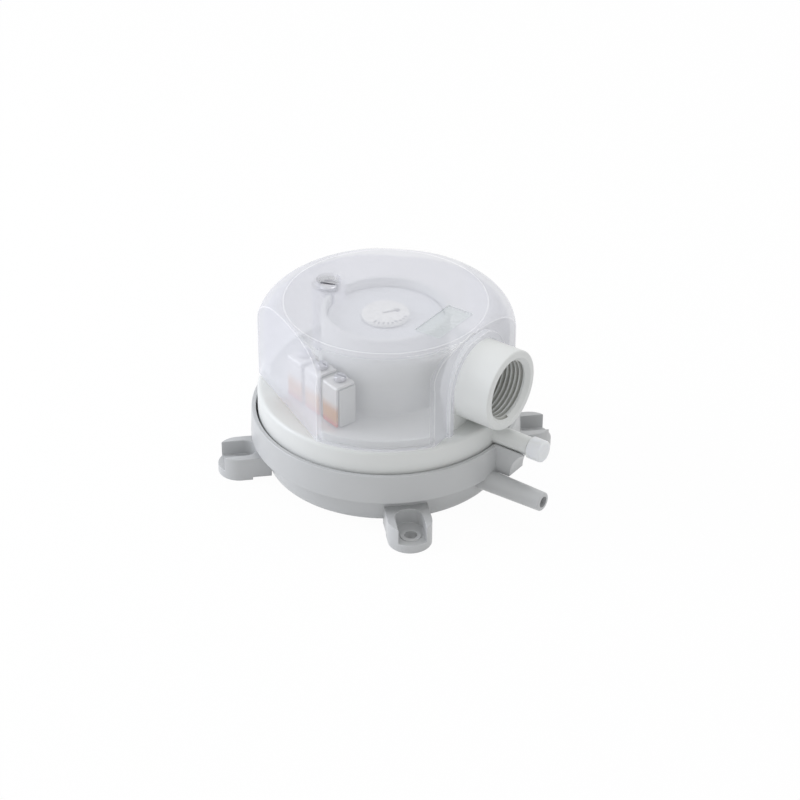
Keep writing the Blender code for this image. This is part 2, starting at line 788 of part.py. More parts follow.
def make_cover(parts, cutters, material):
    """Clear dome with three flats, the inlet slot with its rib, the screw column and the label field."""
    bottom = band_top + fit_gap
    dome = turned("cover", dome_profile(band_radius, cover_top, cover_face_radius, bottom), parts, large_steps)
    inner_face = cover_face_radius - cover_wall / 2
    inner_profile = dome_profile(cover_inner_radius, cover_inner_top, inner_face, bottom - overcut)
    inner = turned("cover_inside", inner_profile, cutters, large_steps)
    for index, angle in enumerate(flat_angles):
        cut(dome, flat_cutter(f"outer_flat_{index}", flat_distance, bottom - 5 * overcut, angle, cutters))
        cut(inner, flat_cutter(f"inner_flat_{index}", flat_inner, bottom - 5 * overcut, angle, cutters))

    slot_radius = inlet_radius + fit_gap
    rib_radius = slot_radius + slot_rib_width
    rib_outline = arc(0.0, inlet_height, rib_radius, 0.0, 180.0, inlet_steps // 2)
    rib_outline += [(-rib_radius, bottom), (rib_radius, bottom)]
    rib = extruded("slot_rib", rib_outline, flat_distance - cover_wall / 2, flat_distance + slot_rib_height,
                   cutters)
    moved(rib, facing_x())
    rib_limit = cylinder("rib_limit", band_radius, bottom - overcut, cover_top - slot_rib_height, cutters,
                         large_steps)
    combine(rib, rib_limit, "INTERSECT")
    fuse(dome, settle(rib))
    cut(dome, settle(inner))

    place = Matrix.Translation((-screw_x, 0.0, 0.0))
    column = cylinder("screw_column", column_radius, column_bottom, cover_top - cover_wall / 2, cutters)
    fuse(dome, moved(column, place))
    well = cylinder("screw_well", screw_well_radius, screw_well_floor, cover_top + overcut, cutters)
    cut(dome, moved(well, place))
    shank_hole = cylinder("shank_hole", screw_shank_radius + fit_gap, column_bottom - overcut, cover_top,
                          cutters, hole_steps)
    cut(dome, moved(shank_hole, place))

    slot_outline = arc(0.0, inlet_height, slot_radius, 0.0, 180.0, inlet_steps // 2)
    slot_outline += [(-slot_radius, bottom - overcut), (slot_radius, bottom - overcut)]
    slot = extruded("inlet_slot", slot_outline, flat_inner - 4 * overcut, band_radius, cutters)
    cut(dome, moved(slot, facing_x()))

    field = block("label_field", (label_x - label_length / 2, -label_width / 2, cover_top - label_depth),
                  (label_x + label_length / 2, label_width / 2, cover_top + overcut), cutters)
    cut(dome, field)
    return finish(settle(dome), material)


def slotted_screw(name, head_radius, head_height, radius, top, end, slot_size, parts, cutters):
    """A pan head screw on the Z axis with a straight slot."""
    edge = head_height / 4
    under_head = top - head_height
    profile = [(0.0, top), (head_radius - edge, top), (head_radius, top - edge), (head_radius, under_head),
               (radius, under_head), (radius, end + radius / 2), (radius / 2, end), (0.0, end)]
    screw = turned(name, profile, parts, hole_steps)
    slot = block(f"{name}_slot", (-2 * head_radius, -slot_size / 2, top - slot_size),
                 (2 * head_radius, slot_size / 2, top + overcut), cutters)
    cut(screw, slot)
    return settle(screw)


def make_cover_screw(parts, cutters, material):
    """The captive screw that holds the cover to the post on the deck."""
    top = screw_well_floor + fit_gap + screw_head_height
    screw = slotted_screw("cover_screw", screw_head_radius, screw_head_height, screw_shank_radius, top,
                          screw_end, screw_slot, parts, cutters)
    screw.location = (-screw_x, 0.0, 0.0)
    return finish(screw, material)


def make_nozzle_cap(parts, material):
    """Small cap pushed over the upper nozzle's spigot."""
    inside = spigot_radius + fit_gap
    outside = inside + cap_wall
    inner_end = upper_nozzle_tip + fit_gap
    outer_end = inner_end + cap_wall
    start = outer_end - cap_length
    edge = cap_wall / 2
    profile = [(0.0, outer_end), (outside - edge, outer_end), (outside, outer_end - edge), (outside, start),
               (inside, start), (inside, inner_end), (0.0, inner_end)]
    cap = turned("nozzle_cap", profile, parts)
    moved(cap, Matrix.Rotation(math.radians(90.0), 4, "Y"))
    cap.location = (0.0, upper_nozzle_y, upper_nozzle_z)
    return finish(cap, material)


def make_dial_knob(parts, cutters, material):
    """Setting knob with an arrow slot, its threaded shaft and the clip's groove."""
    top = knob_low + knob_thickness
    groove_high = tower_lid_low
    groove_low = tower_lid_low - 2 * fit_gap - clip_thickness
    groove_radius = shaft_radius - groove_depth
    profile = [
        (0.0, top), (knob_radius - knob_edge, top), (knob_radius, top - knob_edge), (knob_radius, knob_low),
        (shaft_radius, knob_low), (shaft_radius, groove_high), (groove_radius, groove_high),
        (groove_radius, groove_low), (shaft_radius, groove_low), (shaft_radius, shaft_end), (0.0, shaft_end),
    ]
    knob = turned("dial_knob", profile, parts, hidden_steps)
    tip = arrow_length
    half = arrow_width / 2
    tail = -arrow_length / 2
    neck = tip - arrow_width
    outline = [(tail, -half), (neck, -half), (neck, -2 * half), (tip, 0.0),
               (neck, 2 * half), (neck, half), (tail, half)]
    arrow = extruded("knob_arrow", outline, top - arrow_depth, top + overcut, cutters)
    cut(knob, moved(arrow, about_z(arrow_angle)))
    return finish(settle(knob), material)


def make_shaft_clip(parts, cutters, material):
    """Open ring in the shaft's groove, below the tower's lid."""
    high = tower_lid_low - fit_gap
    inner = shaft_radius - groove_depth + fit_gap
    low = high - clip_thickness
    profile = [(inner, high), (clip_radius, high), (clip_radius, low), (inner, low)]
    clip = turned("shaft_clip", profile, parts, closed=True)
    mouth = block("clip_mouth", (0.0, -clip_opening_half_width, high - 2 * clip_thickness),
                  (2 * clip_radius, clip_opening_half_width, high + clip_thickness), cutters)
    cut(clip, mouth)
    return finish(settle(clip), material)


def make_scale_ring(parts, cutters, material):
    """Scale disc in the tower's top, round the knob's shaft, with a notch beside the screw's channel."""
    outer = tower_radius - tower_wall - fit_gap
    inner = shaft_radius + fit_gap
    high = scale_low + scale_thickness
    profile = [(inner, high), (outer, high), (outer, scale_low), (inner, scale_low)]
    disc = turned("scale_ring", profile, parts, hidden_steps, closed=True)
    notch = cylinder("scale_notch", column_radius + snap_gap, scale_low - overcut, high + overcut, cutters)
    cut(disc, moved(notch, Matrix.Translation((-screw_x, 0.0, 0.0))))
    return finish(settle(disc), material)


def make_spring_seat(parts, cutters, material):
    """Nut that rides on the knob's shaft, held from turning by two keys."""
    radius = tube_radius - fit_gap
    inner = shaft_radius + fit_gap
    high = seat_low + seat_thickness
    profile = [(inner, high), (radius, high), (radius, seat_low), (inner, seat_low)]
    seat = turned("spring_seat", profile, parts, closed=True)
    key_root = radius - 1 * mm
    key_tip = radius + key_depth
    for start, end in ((key_root, key_tip), (-key_tip, -key_root)):
        fuse(seat, block("seat_key", (-key_half_width, start, seat_low), (key_half_width, end, high), cutters))
    return finish(settle(seat), material)


def make_range_spring(parts, material):
    """Coil spring between the plate and the seat, closed to a flat turn at each end."""
    low = spring_low + spring_wire_radius
    high = spring_high - spring_wire_radius
    count = spring_turns * spring_points_per_turn
    curve = bpy.data.curves.new("range_spring", "CURVE")
    curve.dimensions = "3D"
    curve.bevel_depth = spring_wire_radius
    curve.bevel_resolution = 1
    curve.use_fill_caps = True
    curve.resolution_u = 1
    curve.render_resolution_u = 0
    spline = curve.splines.new("POLY")
    spline.points.add(count)
    free_turns = spring_turns - 2
    end_pitch = 2 * spring_wire_radius + spring_end_gap
    for index, point in enumerate(spline.points):
        turn = index / spring_points_per_turn
        share = min(max((turn - 1) / free_turns, 0.0), 1.0)
        end_turns = min(turn, 1.0) + max(turn - 1 - free_turns, 0.0)
        flat = end_pitch * end_turns
        angle = 2.0 * math.pi * turn
        height = low + flat + (high - low - 2 * end_pitch) * share
        point.co = (spring_radius * math.cos(angle), spring_radius * math.sin(angle), height, 1.0)
    spring = bpy.data.objects.new("range_spring", curve)
    parts.objects.link(spring)
    return finish(settle(spring), material)


def make_switch(parts, cutters, materials):
    """Snap switch, its button and lever, the lever's pin, and three screw terminals."""
    turn = about_z(switch_angle)
    body = block("switch_body", (-switch_half_width, switch_front, switch_low),
                 (switch_half_width, switch_back, switch_high), parts)
    travel = lever_rise * plate_stroke / lever_arm
    button_end = -button_tip + button_length
    button_hole = cylinder("button_hole", button_radius + fit_gap, -switch_back - overcut,
                           button_end + travel + fit_gap, cutters, hole_steps)
    to_front = Matrix.Rotation(math.radians(90.0), 4, "X")
    cut(body, moved(button_hole, Matrix.Translation((0.0, 0.0, button_z)) @ to_front))
    tab_low = switch_high + fit_gap
    tab_high = tab_low + terminal_thickness
    screw_y = (switch_back + switch_front) / 2
    foot = switch_low + terminal_foot
    offsets = [(index - 1) * terminal_pitch for index in range(len(terminal_names))]
    for index, x in enumerate(offsets):
        hole = cylinder(f"screw_hole_{index}", terminal_screw_radius + fit_gap,
                        tab_low - terminal_screw_depth - 2 * fit_gap, switch_high + overcut, cutters,
                        hole_steps)
        cut(body, moved(hole, Matrix.Translation((x, screw_y, 0.0))))
    finish(moved(settle(body), turn), materials["switch"])

    for name, x in zip(terminal_names, offsets):
        outline = [(switch_back - fit_gap, tab_low), (switch_back - fit_gap, tab_high), (terminal_front, tab_high),
                   (terminal_front, foot), (terminal_back, foot), (terminal_back, tab_low)]
        terminal = extruded(f"terminal_{name}", outline, -terminal_half_width, terminal_half_width, parts)
        moved(terminal, Matrix.Translation((x, 0.0, 0.0)) @ facing_x())
        hole = cylinder(f"tab_hole_{name}", terminal_screw_radius + fit_gap, tab_low - overcut,
                        tab_high + overcut, cutters, hole_steps)
        moved(hole, Matrix.Translation((x, screw_y, 0.0)))
        cut(terminal, hole)
        terminal = settle(terminal)
        finish(moved(terminal, turn), materials["brass"])
        top = tab_high + fit_gap + terminal_screw_head_height
        screw = slotted_screw(f"terminal_screw_{name}", terminal_screw_head_radius, terminal_screw_head_height,
                              terminal_screw_radius, top, tab_low - terminal_screw_depth, terminal_screw_slot,
                              parts, cutters)
        screw.location = turn @ Vector((x, screw_y, 0.0))
        screw.rotation_euler.z = math.radians(switch_angle + terminal_screw_turn * x / terminal_pitch)
        finish(screw, materials["steel"])

    button_profile = [(0.0, button_end), (button_radius, button_end),
                      (button_radius, -button_tip + button_edge), (button_radius - button_edge, -button_tip),
                      (0.0, -button_tip)]
    button = turned("switch_button", button_profile, parts, hole_steps)
    moved(button, turn @ Matrix.Translation((0.0, 0.0, button_z)) @ to_front)
    button_pivot = pivot("button_pivot", turn @ Vector((0.0, button_tip, button_z)), parts, switch_angle)
    carry(finish(button, materials["button"]), button_pivot)

    arm_end = pivot_y + lever_arm + push_pin_radius
    hub = arc(pivot_y, pivot_z, lever_hub_radius, 0.0, 360.0, hole_steps)[:-1]
    lever = extruded("switch_lever", hub, -lever_half_width, lever_half_width, parts)
    arm_high = arm_low + lever_thickness
    arm_back = arm_front + lever_thickness
    flat_arm = [(pivot_y, arm_low), (arm_end, arm_low), (arm_end, arm_high), (pivot_y, arm_high)]
    tall_arm = [(arm_front, pivot_z), (arm_back, pivot_z), (arm_back, lever_top), (arm_front, lever_top)]
    moved(lever, facing_x())
    for name, outline in (("flat_arm", flat_arm), ("tall_arm", tall_arm)):
        arm = extruded(name, outline, -arm_half_width, arm_half_width, cutters)
        fuse(lever, moved(arm, facing_x()))
    hole = cylinder("lever_hole", lever_pin_radius + fit_gap, -2 * lever_half_width, 2 * lever_half_width,
                    cutters, hole_steps)
    cut(lever, moved(hole, along_x(y=pivot_y, z=pivot_z)))
    lever = moved(settle(lever), turn)
    lever_pivot = pivot("lever_pivot", turn @ Vector((0.0, pivot_y, pivot_z)), parts, switch_angle)
    carry(finish(lever, materials["lever"]), lever_pivot)

    pin = cylinder("lever_pin", lever_pin_radius, -ear_outer, ear_outer, parts, hole_steps)
    moved(pin, turn @ along_x(y=pivot_y, z=pivot_z))
    finish(pin, materials["steel"])


def main():
    """Builds every piece."""
    clear_scene()
    parts = new_collection("differential_pressure_switch")
    cutters = new_collection("cutters")
    materials = {
        "lower": make_material("mid_grey_plastic", (0.47, 0.48, 0.48), 0.5),
        "upper": make_material("pale_grey_plastic", (0.78, 0.78, 0.76), 0.45),
        "clear": make_material("clear_plastic", (0.9, 0.9, 0.93), 0.08, alpha=0.3),
        "steel": make_material("zinc_steel", (0.6, 0.6, 0.6), 0.35, 1.0),
        "brass": make_material("copper_brass", (0.75, 0.5, 0.28), 0.35, 1.0),
        "cap": make_material("milky_plastic", (0.86, 0.88, 0.92), 0.3, alpha=0.8),
        "rubber": make_material("silicone_rubber", (0.8, 0.8, 0.76), 0.6),
        "plate": make_material("plate_plastic", (0.2, 0.2, 0.21), 0.5),
        "white": make_material("white_plastic", (0.86, 0.86, 0.83), 0.4),
        "switch": make_material("switch_plastic", (0.7, 0.71, 0.69), 0.5),
        "button": make_material("button_plastic", (0.6, 0.1, 0.08), 0.4),
        "lever": make_material("lever_plastic", (0.62, 0.63, 0.6), 0.45),
    }
    make_lower_housing(parts, cutters, materials["lower"])
    make_diaphragm(parts, materials["rubber"])
    make_diaphragm_plate(parts, cutters, materials["plate"])
    make_upper_housing(parts, cutters, materials["upper"])
    make_cover(parts, cutters, materials["clear"])
    make_cover_screw(parts, cutters, materials["steel"])
    make_nozzle_cap(parts, materials["cap"])
    make_dial_knob(parts, cutters, materials["white"])
    make_shaft_clip(parts, cutters, materials["steel"])
    make_scale_ring(parts, cutters, materials["white"])
    make_spring_seat(parts, cutters, materials["lever"])
    make_range_spring(parts, materials["steel"])
    make_switch(parts, cutters, materials)
    cutters.hide_render = True


main()
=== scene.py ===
"""Looks of a differential pressure switch: grey and ivory mouldings, a clear cover and the works inside.

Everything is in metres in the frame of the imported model, with +Z up and +X along the cable inlet.
"""
import math

import bmesh
import bpy
from mathutils import Matrix, Vector

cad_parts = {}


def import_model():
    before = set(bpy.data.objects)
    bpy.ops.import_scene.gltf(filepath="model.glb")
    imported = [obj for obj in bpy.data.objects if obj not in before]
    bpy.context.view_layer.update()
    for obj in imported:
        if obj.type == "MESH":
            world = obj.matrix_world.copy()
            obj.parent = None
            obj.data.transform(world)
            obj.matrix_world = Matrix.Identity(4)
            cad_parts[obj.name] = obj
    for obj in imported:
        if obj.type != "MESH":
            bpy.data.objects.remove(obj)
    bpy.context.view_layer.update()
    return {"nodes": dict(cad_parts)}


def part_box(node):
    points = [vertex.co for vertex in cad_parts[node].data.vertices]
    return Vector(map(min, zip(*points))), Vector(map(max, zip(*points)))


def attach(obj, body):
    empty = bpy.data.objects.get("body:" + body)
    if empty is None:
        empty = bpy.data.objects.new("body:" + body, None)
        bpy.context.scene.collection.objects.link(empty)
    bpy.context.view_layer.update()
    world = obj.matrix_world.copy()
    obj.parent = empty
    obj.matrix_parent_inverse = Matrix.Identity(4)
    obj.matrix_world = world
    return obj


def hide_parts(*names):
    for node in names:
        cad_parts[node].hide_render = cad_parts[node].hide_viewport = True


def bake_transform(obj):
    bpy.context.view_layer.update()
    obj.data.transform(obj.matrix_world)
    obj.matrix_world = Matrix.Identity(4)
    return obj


mm = 0.001

# Facets round the large, middle and small turned pieces
large_steps = 160
middle_steps = 96
small_steps = 48
hole_steps = 32
fillet_steps = 4
sharp_angle = 38.0
same_plane_angle = 0.5
weld_distance = 0.001 * mm

# Clearances and the overrun of cutting shapes
fit_gap = 0.3 * mm
snap_gap = 0.4 * mm
overcut = 1.0 * mm

# Lower housing
ring_inner = 40.8 * mm
ring_radius = 42.2 * mm
ring_draft = 0.4 * mm
ring_bottom = 11.0 * mm
ring_top = 20.6 * mm
cup_radius = 39.9 * mm
cup_draft = 2.4 * mm
cup_bottom = 2.0 * mm
cup_rim = 2.6 * mm
floor_low = 4.2 * mm
floor_top = 6.2 * mm
chamber_radius = 36.0 * mm
ledge_height = 14.6 * mm
pad_radius = 6.0 * mm
stop_radius = 5.0 * mm
stop_top = 15.25 * mm

# Fixing lugs
lug_angles = (45.0, 135.0, 225.0, 315.0)
lug_circle = 46.7 * mm
lug_half_width = 6.8 * mm
lug_height = 7.8 * mm
lug_hole_circle = 48.1 * mm
lug_hole_radius = 2.0 * mm
lug_boss_radius = 3.2 * mm
lug_slot_half_width = 4.3 * mm
lug_slot_floor = 2.8 * mm
lug_slot_start = 41.0 * mm
boss_top = 3.2 * mm
foot_start = 43.3 * mm
foot_step = 1.0 * mm
lug_fillet = 0.35 * mm
lug_edge_angle = 40.0
lug_edge_segments = 3
lug_end_steps = 24
lug_slot_steps = 20

# Nozzles
nozzle_bore = 1.8 * mm
nozzle_tip_radius = 3.0 * mm
lower_nozzle_root = 3.5 * mm
lower_nozzle_y = -3.2 * mm
lower_nozzle_z = 9.1 * mm
lower_nozzle_tip = 61.5 * mm
upper_nozzle_root = 3.1 * mm
upper_nozzle_end = 2.9 * mm
upper_nozzle_y = 3.0 * mm
upper_nozzle_z = 22.4 * mm
upper_nozzle_tip = 56.6 * mm
spigot_radius = 2.6 * mm
spigot_start = 52.4 * mm
web_half_width = 3.8 * mm
web_low = 11.4 * mm
web_high = 20.9 * mm
web_low_reach = 5.2 * mm
web_flare = 8.8 * mm
web_flare_height = 10.6 * mm
web_steps = 24
nozzle_fillet = 0.5 * mm
cap_wall = 0.6 * mm
cap_length = 4.8 * mm

# Upper housing
band_radius = 40.2 * mm
band_top = 28.0 * mm
band_bottom = 17.2 * mm
band_edge = 1.3 * mm
deck_low = 25.5 * mm
upper_chamber_radius = 35.4 * mm
lip_height = 2.6 * mm
lip_wall = 1.6 * mm
tower_radius = 20.0 * mm
tower_wall = 1.6 * mm
tower_top = 55.0 * mm
tower_lid_low = 48.5 * mm
tower_lid_high = 50.5 * mm
tube_radius = 8.2 * mm
tube_wall = 1.6 * mm
inlet_radius = 12.75 * mm
inlet_bore = 9.25 * mm
inlet_height = 42.0 * mm
inlet_face = 46.7 * mm
inlet_start = 29.6 * mm
thread_pitch = 1.5 * mm
thread_depth = 0.95 * mm
thread_turns = 9
thread_root_share = 0.42
thread_tip_share = 0.10
inlet_mouth = 1.3 * mm
skirt_half_width = 12.75 * mm
skirt_start = 31.0 * mm
skirt_end = 33.4 * mm

# Cover
cover_wall = 1.9 * mm
cover_low = 28.3 * mm
cover_top = 57.6 * mm
cover_face_radius = 31.5 * mm
shoulder_height = 9.1 * mm
shoulder_steps = 26
flat_distance = 33.8 * mm
flat_bend_height = 47.7 * mm
flat_lean = 0.10
flat_angles = (0.0, 118.0, -118.0)
slot_rib_width = 2.2 * mm
slot_rib_height = 1.1 * mm
rib_edge = 0.3 * mm
rib_edge_angle = 30.0
cover_edge = 0.35 * mm
cover_edge_angle = 12.0
inner_edge = 0.2 * mm
inner_edge_angle = 20.0
face_crease = 14.0
haze_power = 1.5
label_x = 21.8 * mm
label_length = 9.0 * mm
label_width = 18.0 * mm
label_depth = 0.5 * mm
label_corner = 0.6 * mm

# Cover screw and its column
screw_x = -22.0 * mm
column_radius = 5.3 * mm
column_bottom = 34.0 * mm
well_radius = 3.9 * mm
well_floor = 53.4 * mm
well_corner = 0.3 * mm
screw_head_radius = 3.1 * mm
screw_head_height = 2.2 * mm
screw_shank_radius = 1.5 * mm
screw_end = 27.6 * mm
screw_slot = 0.9 * mm
screw_turn = 20.0
head_top_share = 0.35
head_rim_share = 0.1
post_radius = 4.6 * mm
channel_wall = 1.5 * mm

# Setting knob and scale
scale_low = 50.8 * mm
scale_high = 51.8 * mm
knob_low = 52.1 * mm
knob_high = 53.3 * mm
knob_radius = 7.4 * mm
shaft_radius = 2.5 * mm
shaft_end = 33.0 * mm
groove_depth = 0.6 * mm
clip_thickness = 0.6 * mm
arrow_length = 5.2 * mm
arrow_tail = -1.0 * mm
arrow_width = 1.0 * mm
arrow_depth = 0.5 * mm
arrow_angle = 57.0
inlay_length_share = 0.94
inlay_width_share = 0.8
inlay_thickness = 0.1 * mm
graduation_count = 9
graduation_start = -84.0
graduation_step = 12.0
long_graduation_every = 5
graduation_end = 7.2 * mm
long_graduation = 1.4 * mm
short_graduation = 1.0 * mm
graduation_width = 0.55 * mm
print_thickness = 0.04 * mm

# Range spring, between the plate and the seat
spring_radius = 6.1 * mm
spring_wire = 0.5 * mm
spring_end_pitch = 1.05 * mm
spring_free_turns = 6
coil_steps = 24
wire_steps = 10

# Snap switch, in a frame turned about Z
switch_angle = -16.0
pivot_y = -19.5 * mm
pivot_z = 30.475 * mm
switch_back = -21.4 * mm
switch_front = -27.6 * mm
switch_low = 28.3 * mm
switch_high = 41.5 * mm
switch_half_width = 12.8 * mm
switch_edge = 0.5 * mm
push_pin_radius = 1.2 * mm
push_pin_offset = 14.5 * mm
lever_pin_radius = 0.6 * mm
lever_rise = 4.0 * mm
ear_inner = 3.3 * mm
ear_thickness = 1.9 * mm
ear_half_depth = 1.5 * mm
ear_over_pin = 2.3 * mm
ear_edge = 0.2 * mm
window_half_width = 6.7 * mm
window_start = 11.0 * mm
window_top = 38.975 * mm
button_radius = 1.3 * mm
button_depth = 3.0 * mm
terminal_half_width = 3.4 * mm
terminal_thickness = 0.8 * mm
terminal_foot = 0.4 * mm
terminal_bend_radius = 0.96 * mm
terminal_edge = 0.12 * mm
terminal_head_radius = 1.9 * mm
terminal_head_height = 1.4 * mm
terminal_screw_radius = 1.0 * mm
terminal_screw_depth = 5.0 * mm
terminal_screw_slot = 0.6 * mm
terminal_screw_turn = 20.0
terminal_pitch = 9.0 * mm
terminal_names = ("common", "open", "closed")
foot_height = 30.2 * mm
foot_fade = 1.6 * mm
tin_height = 35.5 * mm
tin_fade = 3.0 * mm

# The part of a noise's range that is used
noise_low = 0.3
noise_high = 0.7

# Camera, fitted to the outline in an 800 x 800 frame
camera_target = Vector((0.0, 0.0, 24.0 * mm))
camera_azimuth = 36.0
camera_elevation = 32.5
camera_distance = 807.6 * mm
sensor_width = 36.0
camera_lens = 115.81
camera_shift_x = 0.0178
camera_shift_y = -0.0095
camera_near = 10.0 * mm

# Studio
floor_half_size = 3.0
floor_colour = (0.86, 0.86, 0.86)
floor_roughness = 0.9
floor_whiteness = 0.97
fill_strength = 0.70
key_direction = (-0.80, -0.48, 0.45)
key_size = 0.3
key_power = 2.5
key_colour = (0.89, 0.915, 1.0)
rim_direction = (0.15, 0.5, 1.0)
rim_size = 0.3
rim_power = 0.9
lamp_distance = 0.7
most_bounces = 16
most_bounces_in_glass = 14


def new_object(name, data):
    """An object with the given data, linked into the scene."""
    made = bpy.data.objects.new(name, data)
    bpy.context.scene.collection.objects.link(made)
    return made


def new_piece(name, shape, place=None):
    """Makes an object from a finished bmesh: put in its place, welded, and with its faces outwards."""
    if place is not None:
        bmesh.ops.transform(shape, matrix=place, verts=shape.verts)
    bmesh.ops.remove_doubles(shape, verts=shape.verts, dist=weld_distance)
    bmesh.ops.recalc_face_normals(shape, faces=shape.faces)
    mesh = bpy.data.meshes.new(name)
    shape.to_mesh(mesh)
    shape.free()
    return new_object(name, mesh)


def settle(piece):
    """Turns a piece's evaluated shape into its own plain mesh."""
    bpy.context.view_layer.update()
    graph = bpy.context.evaluated_depsgraph_get()
    mesh = bpy.data.meshes.new_from_object(piece.evaluated_get(graph), depsgraph=graph)
    piece.modifiers.clear()
    piece.data = mesh


def combine(piece, helper, operation):
    """Joins, cuts or crosses a piece with a helper shape, which is then removed."""
    boolean = piece.modifiers.new("combine", "BOOLEAN")
    boolean.operation = operation
    boolean.solver = "EXACT"
    boolean.object = helper
    settle(piece)
    bpy.data.objects.remove(helper, do_unlink=True)


def cut(piece, helper):
    """Cuts the helper out of the piece."""
    combine(piece, helper, "DIFFERENCE")


def fuse(piece, helper):
    """Joins the helper to the piece."""
    combine(piece, helper, "UNION")


def rounded(corners, steps=fillet_steps):
    """Outline through corners (x, y, radius), each rounded by an arc. A radius of 0 keeps the corner."""
    points = []
    for index, (x, y, radius) in enumerate(corners):
        corner = Vector((x, y))
        if radius == 0.0:
            points.append((x, y))
            continue
        back = (Vector(corners[index - 1][:2]) - corner).normalized()
        ahead = (Vector(corners[(index + 1) % len(corners)][:2]) - corner).normalized()
        half = back.angle(ahead) / 2
        centre = corner + (back + ahead).normalized() * radius / math.sin(half)
        start = corner + back * radius / math.tan(half) - centre
        end = corner + ahead * radius / math.tan(half) - centre
        sweep = math.atan2(start.x * end.y - start.y * end.x, start.dot(end))
        for step in range(steps + 1):
            arm = Matrix.Rotation(sweep * step / steps, 2) @ start
            points.append(tuple(centre + arm))
    return points


def arc(centre_x, centre_y, radius, start, end, count):
    """Points on an arc, between two angles in degrees."""
    points = []
    for index in range(count + 1):
        angle = math.radians(start + (end - start) * index / count)
        points.append((centre_x + radius * math.cos(angle), centre_y + radius * math.sin(angle)))
    return points


def spun(name, outline, steps, place=None, closed=False):
    """A solid spun about Z from an outline of (radius, height), then put in its place."""
    shape = bmesh.new()
    points = [shape.verts.new((radius, 0.0, height)) for radius, height in outline]
    edges = [shape.edges.new(pair) for pair in zip(points, points[1:])]
    if closed:
        edges.append(shape.edges.new((points[-1], points[0])))
    bmesh.ops.spin(shape, geom=points + edges, axis=(0.0, 0.0, 1.0), cent=(0.0, 0.0, 0.0),
                   angle=2.0 * math.pi, steps=steps, use_merge=True)
    return new_piece(name, shape, place)


def rod(name, radius, low, high, steps=hole_steps, place=None):
    """A plain round rod on Z between two heights, put in its place."""
    shape = bmesh.new()
    bmesh.ops.create_cone(shape, cap_ends=True, segments=steps, radius1=radius, radius2=radius,
                          depth=high - low, matrix=(place or Matrix.Identity(4)) @ shift(z=(low + high) / 2))
    return new_piece(name, shape)


def block(name, low, high, place=None, edge=0.0):
    """A box between two corners, with its edges rounded off by the given width."""
    shape = bmesh.new()
    size = Vector(high) - Vector(low)
    bmesh.ops.create_cube(shape, size=1.0, matrix=Matrix.Translation((Vector(high) + Vector(low)) / 2)
                          @ Matrix.Diagonal((*size, 1.0)))
    if edge > 0.0:
        soften(shape, edge)
    return new_piece(name, shape, place)


def join_planes(shape):
    """Makes one face of all the neighbours in a bmesh that lie in one plane."""
    bmesh.ops.dissolve_limit(shape, angle_limit=math.radians(same_plane_angle), verts=shape.verts,
                             edges=shape.edges)


def soften(shape, width, angle=30.0, segments=2):
    """Rounds off every edge of a bmesh that turns by more than the angle."""
    edges = [edge for edge in shape.edges
             if len(edge.link_faces) == 2 and edge.calc_face_angle() > math.radians(angle)]
    bmesh.ops.bevel(shape, geom=edges, offset=width, offset_type="OFFSET", affect="EDGES",
                    segments=segments, profile=0.5, material=-1, clamp_overlap=True)


def softened(piece, width, angle=30.0, segments=2):
    """Rounds off the sharp edges of a piece."""
    shape = bmesh.new()
    shape.from_mesh(piece.data)
    join_planes(shape)
    soften(shape, width, angle, segments)
    shape.to_mesh(piece.data)
    shape.free()
    return piece


def raised(name, outline, low, high, place=None, edge=0.0):
    """A flat outline in XY raised between two heights, then put in its place."""
    shape = bmesh.new()
    face = shape.faces.new([shape.verts.new((x, y, low)) for x, y in outline])
    lifted = bmesh.ops.extrude_face_region(shape, geom=[face])
    tops = [item for item in lifted["geom"] if isinstance(item, bmesh.types.BMVert)]
    bmesh.ops.translate(shape, vec=(0.0, 0.0, high - low), verts=tops)
    bmesh.ops.recalc_face_normals(shape, faces=shape.faces)
    if edge > 0.0:
        soften(shape, edge)
    return new_piece(name, shape, place)


def gathered(name, things):
    """Puts several helper shapes into one."""
    shape = bmesh.new()
    for thing in things:
        shape.from_mesh(thing.data)
        bpy.data.objects.remove(thing, do_unlink=True)
    return new_piece(name, shape)


def turned_copy(piece, degrees):
    """A copy of a helper, turned about the housing's axis."""
    copy = new_object(piece.name, piece.data.copy())
    copy.data.transform(about_z(degrees))
    return copy


def about_z(degrees):
    """A turn about the housing's axis."""
    return Matrix.Rotation(math.radians(degrees), 4, "Z")


def along_x(y, z):
    """Lays a shape built on Z along +X, at the given place across it."""
    return Matrix.Translation((0.0, y, z)) @ Matrix.Rotation(math.radians(90.0), 4, "Y")


def along_y():
    """Stands an outline drawn as (x, z) up, so that its thickness runs along -Y."""
    return Matrix.Rotation(math.radians(90.0), 4, "X")


def facing_x():
    """Stands an outline drawn as (y, z) up, so that its thickness runs along +X."""
    return about_z(90.0) @ along_y()


def shift(x=0.0, y=0.0, z=0.0):
    """A plain move."""
    return Matrix.Translation((x, y, z))


def finish(piece, material):
    """Gives a piece its shading, and its material where it has none yet."""
    piece.data.shade_smooth()
    piece.data.set_sharp_from_angle(angle=math.radians(sharp_angle))
    weighted = piece.modifiers.new("even shading", "WEIGHTED_NORMAL")
    weighted.keep_sharp = True
    settle(piece)
    if not piece.data.materials:
        piece.data.materials.append(material)


def dress(piece, material, body, slot, *nodes):
    """Finishes a piece, gives it its body, and hides the nodes that it stands for."""
    finish(piece, material)
    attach(piece, body)
    if nodes:
        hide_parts(*nodes)
    return piece


def shader_of(name):
    """A new material with its Principled shader and its node tools."""
    material = bpy.data.materials.new(name)
    material.use_nodes = True
    return material, material.node_tree, material.node_tree.nodes["Principled BSDF"]


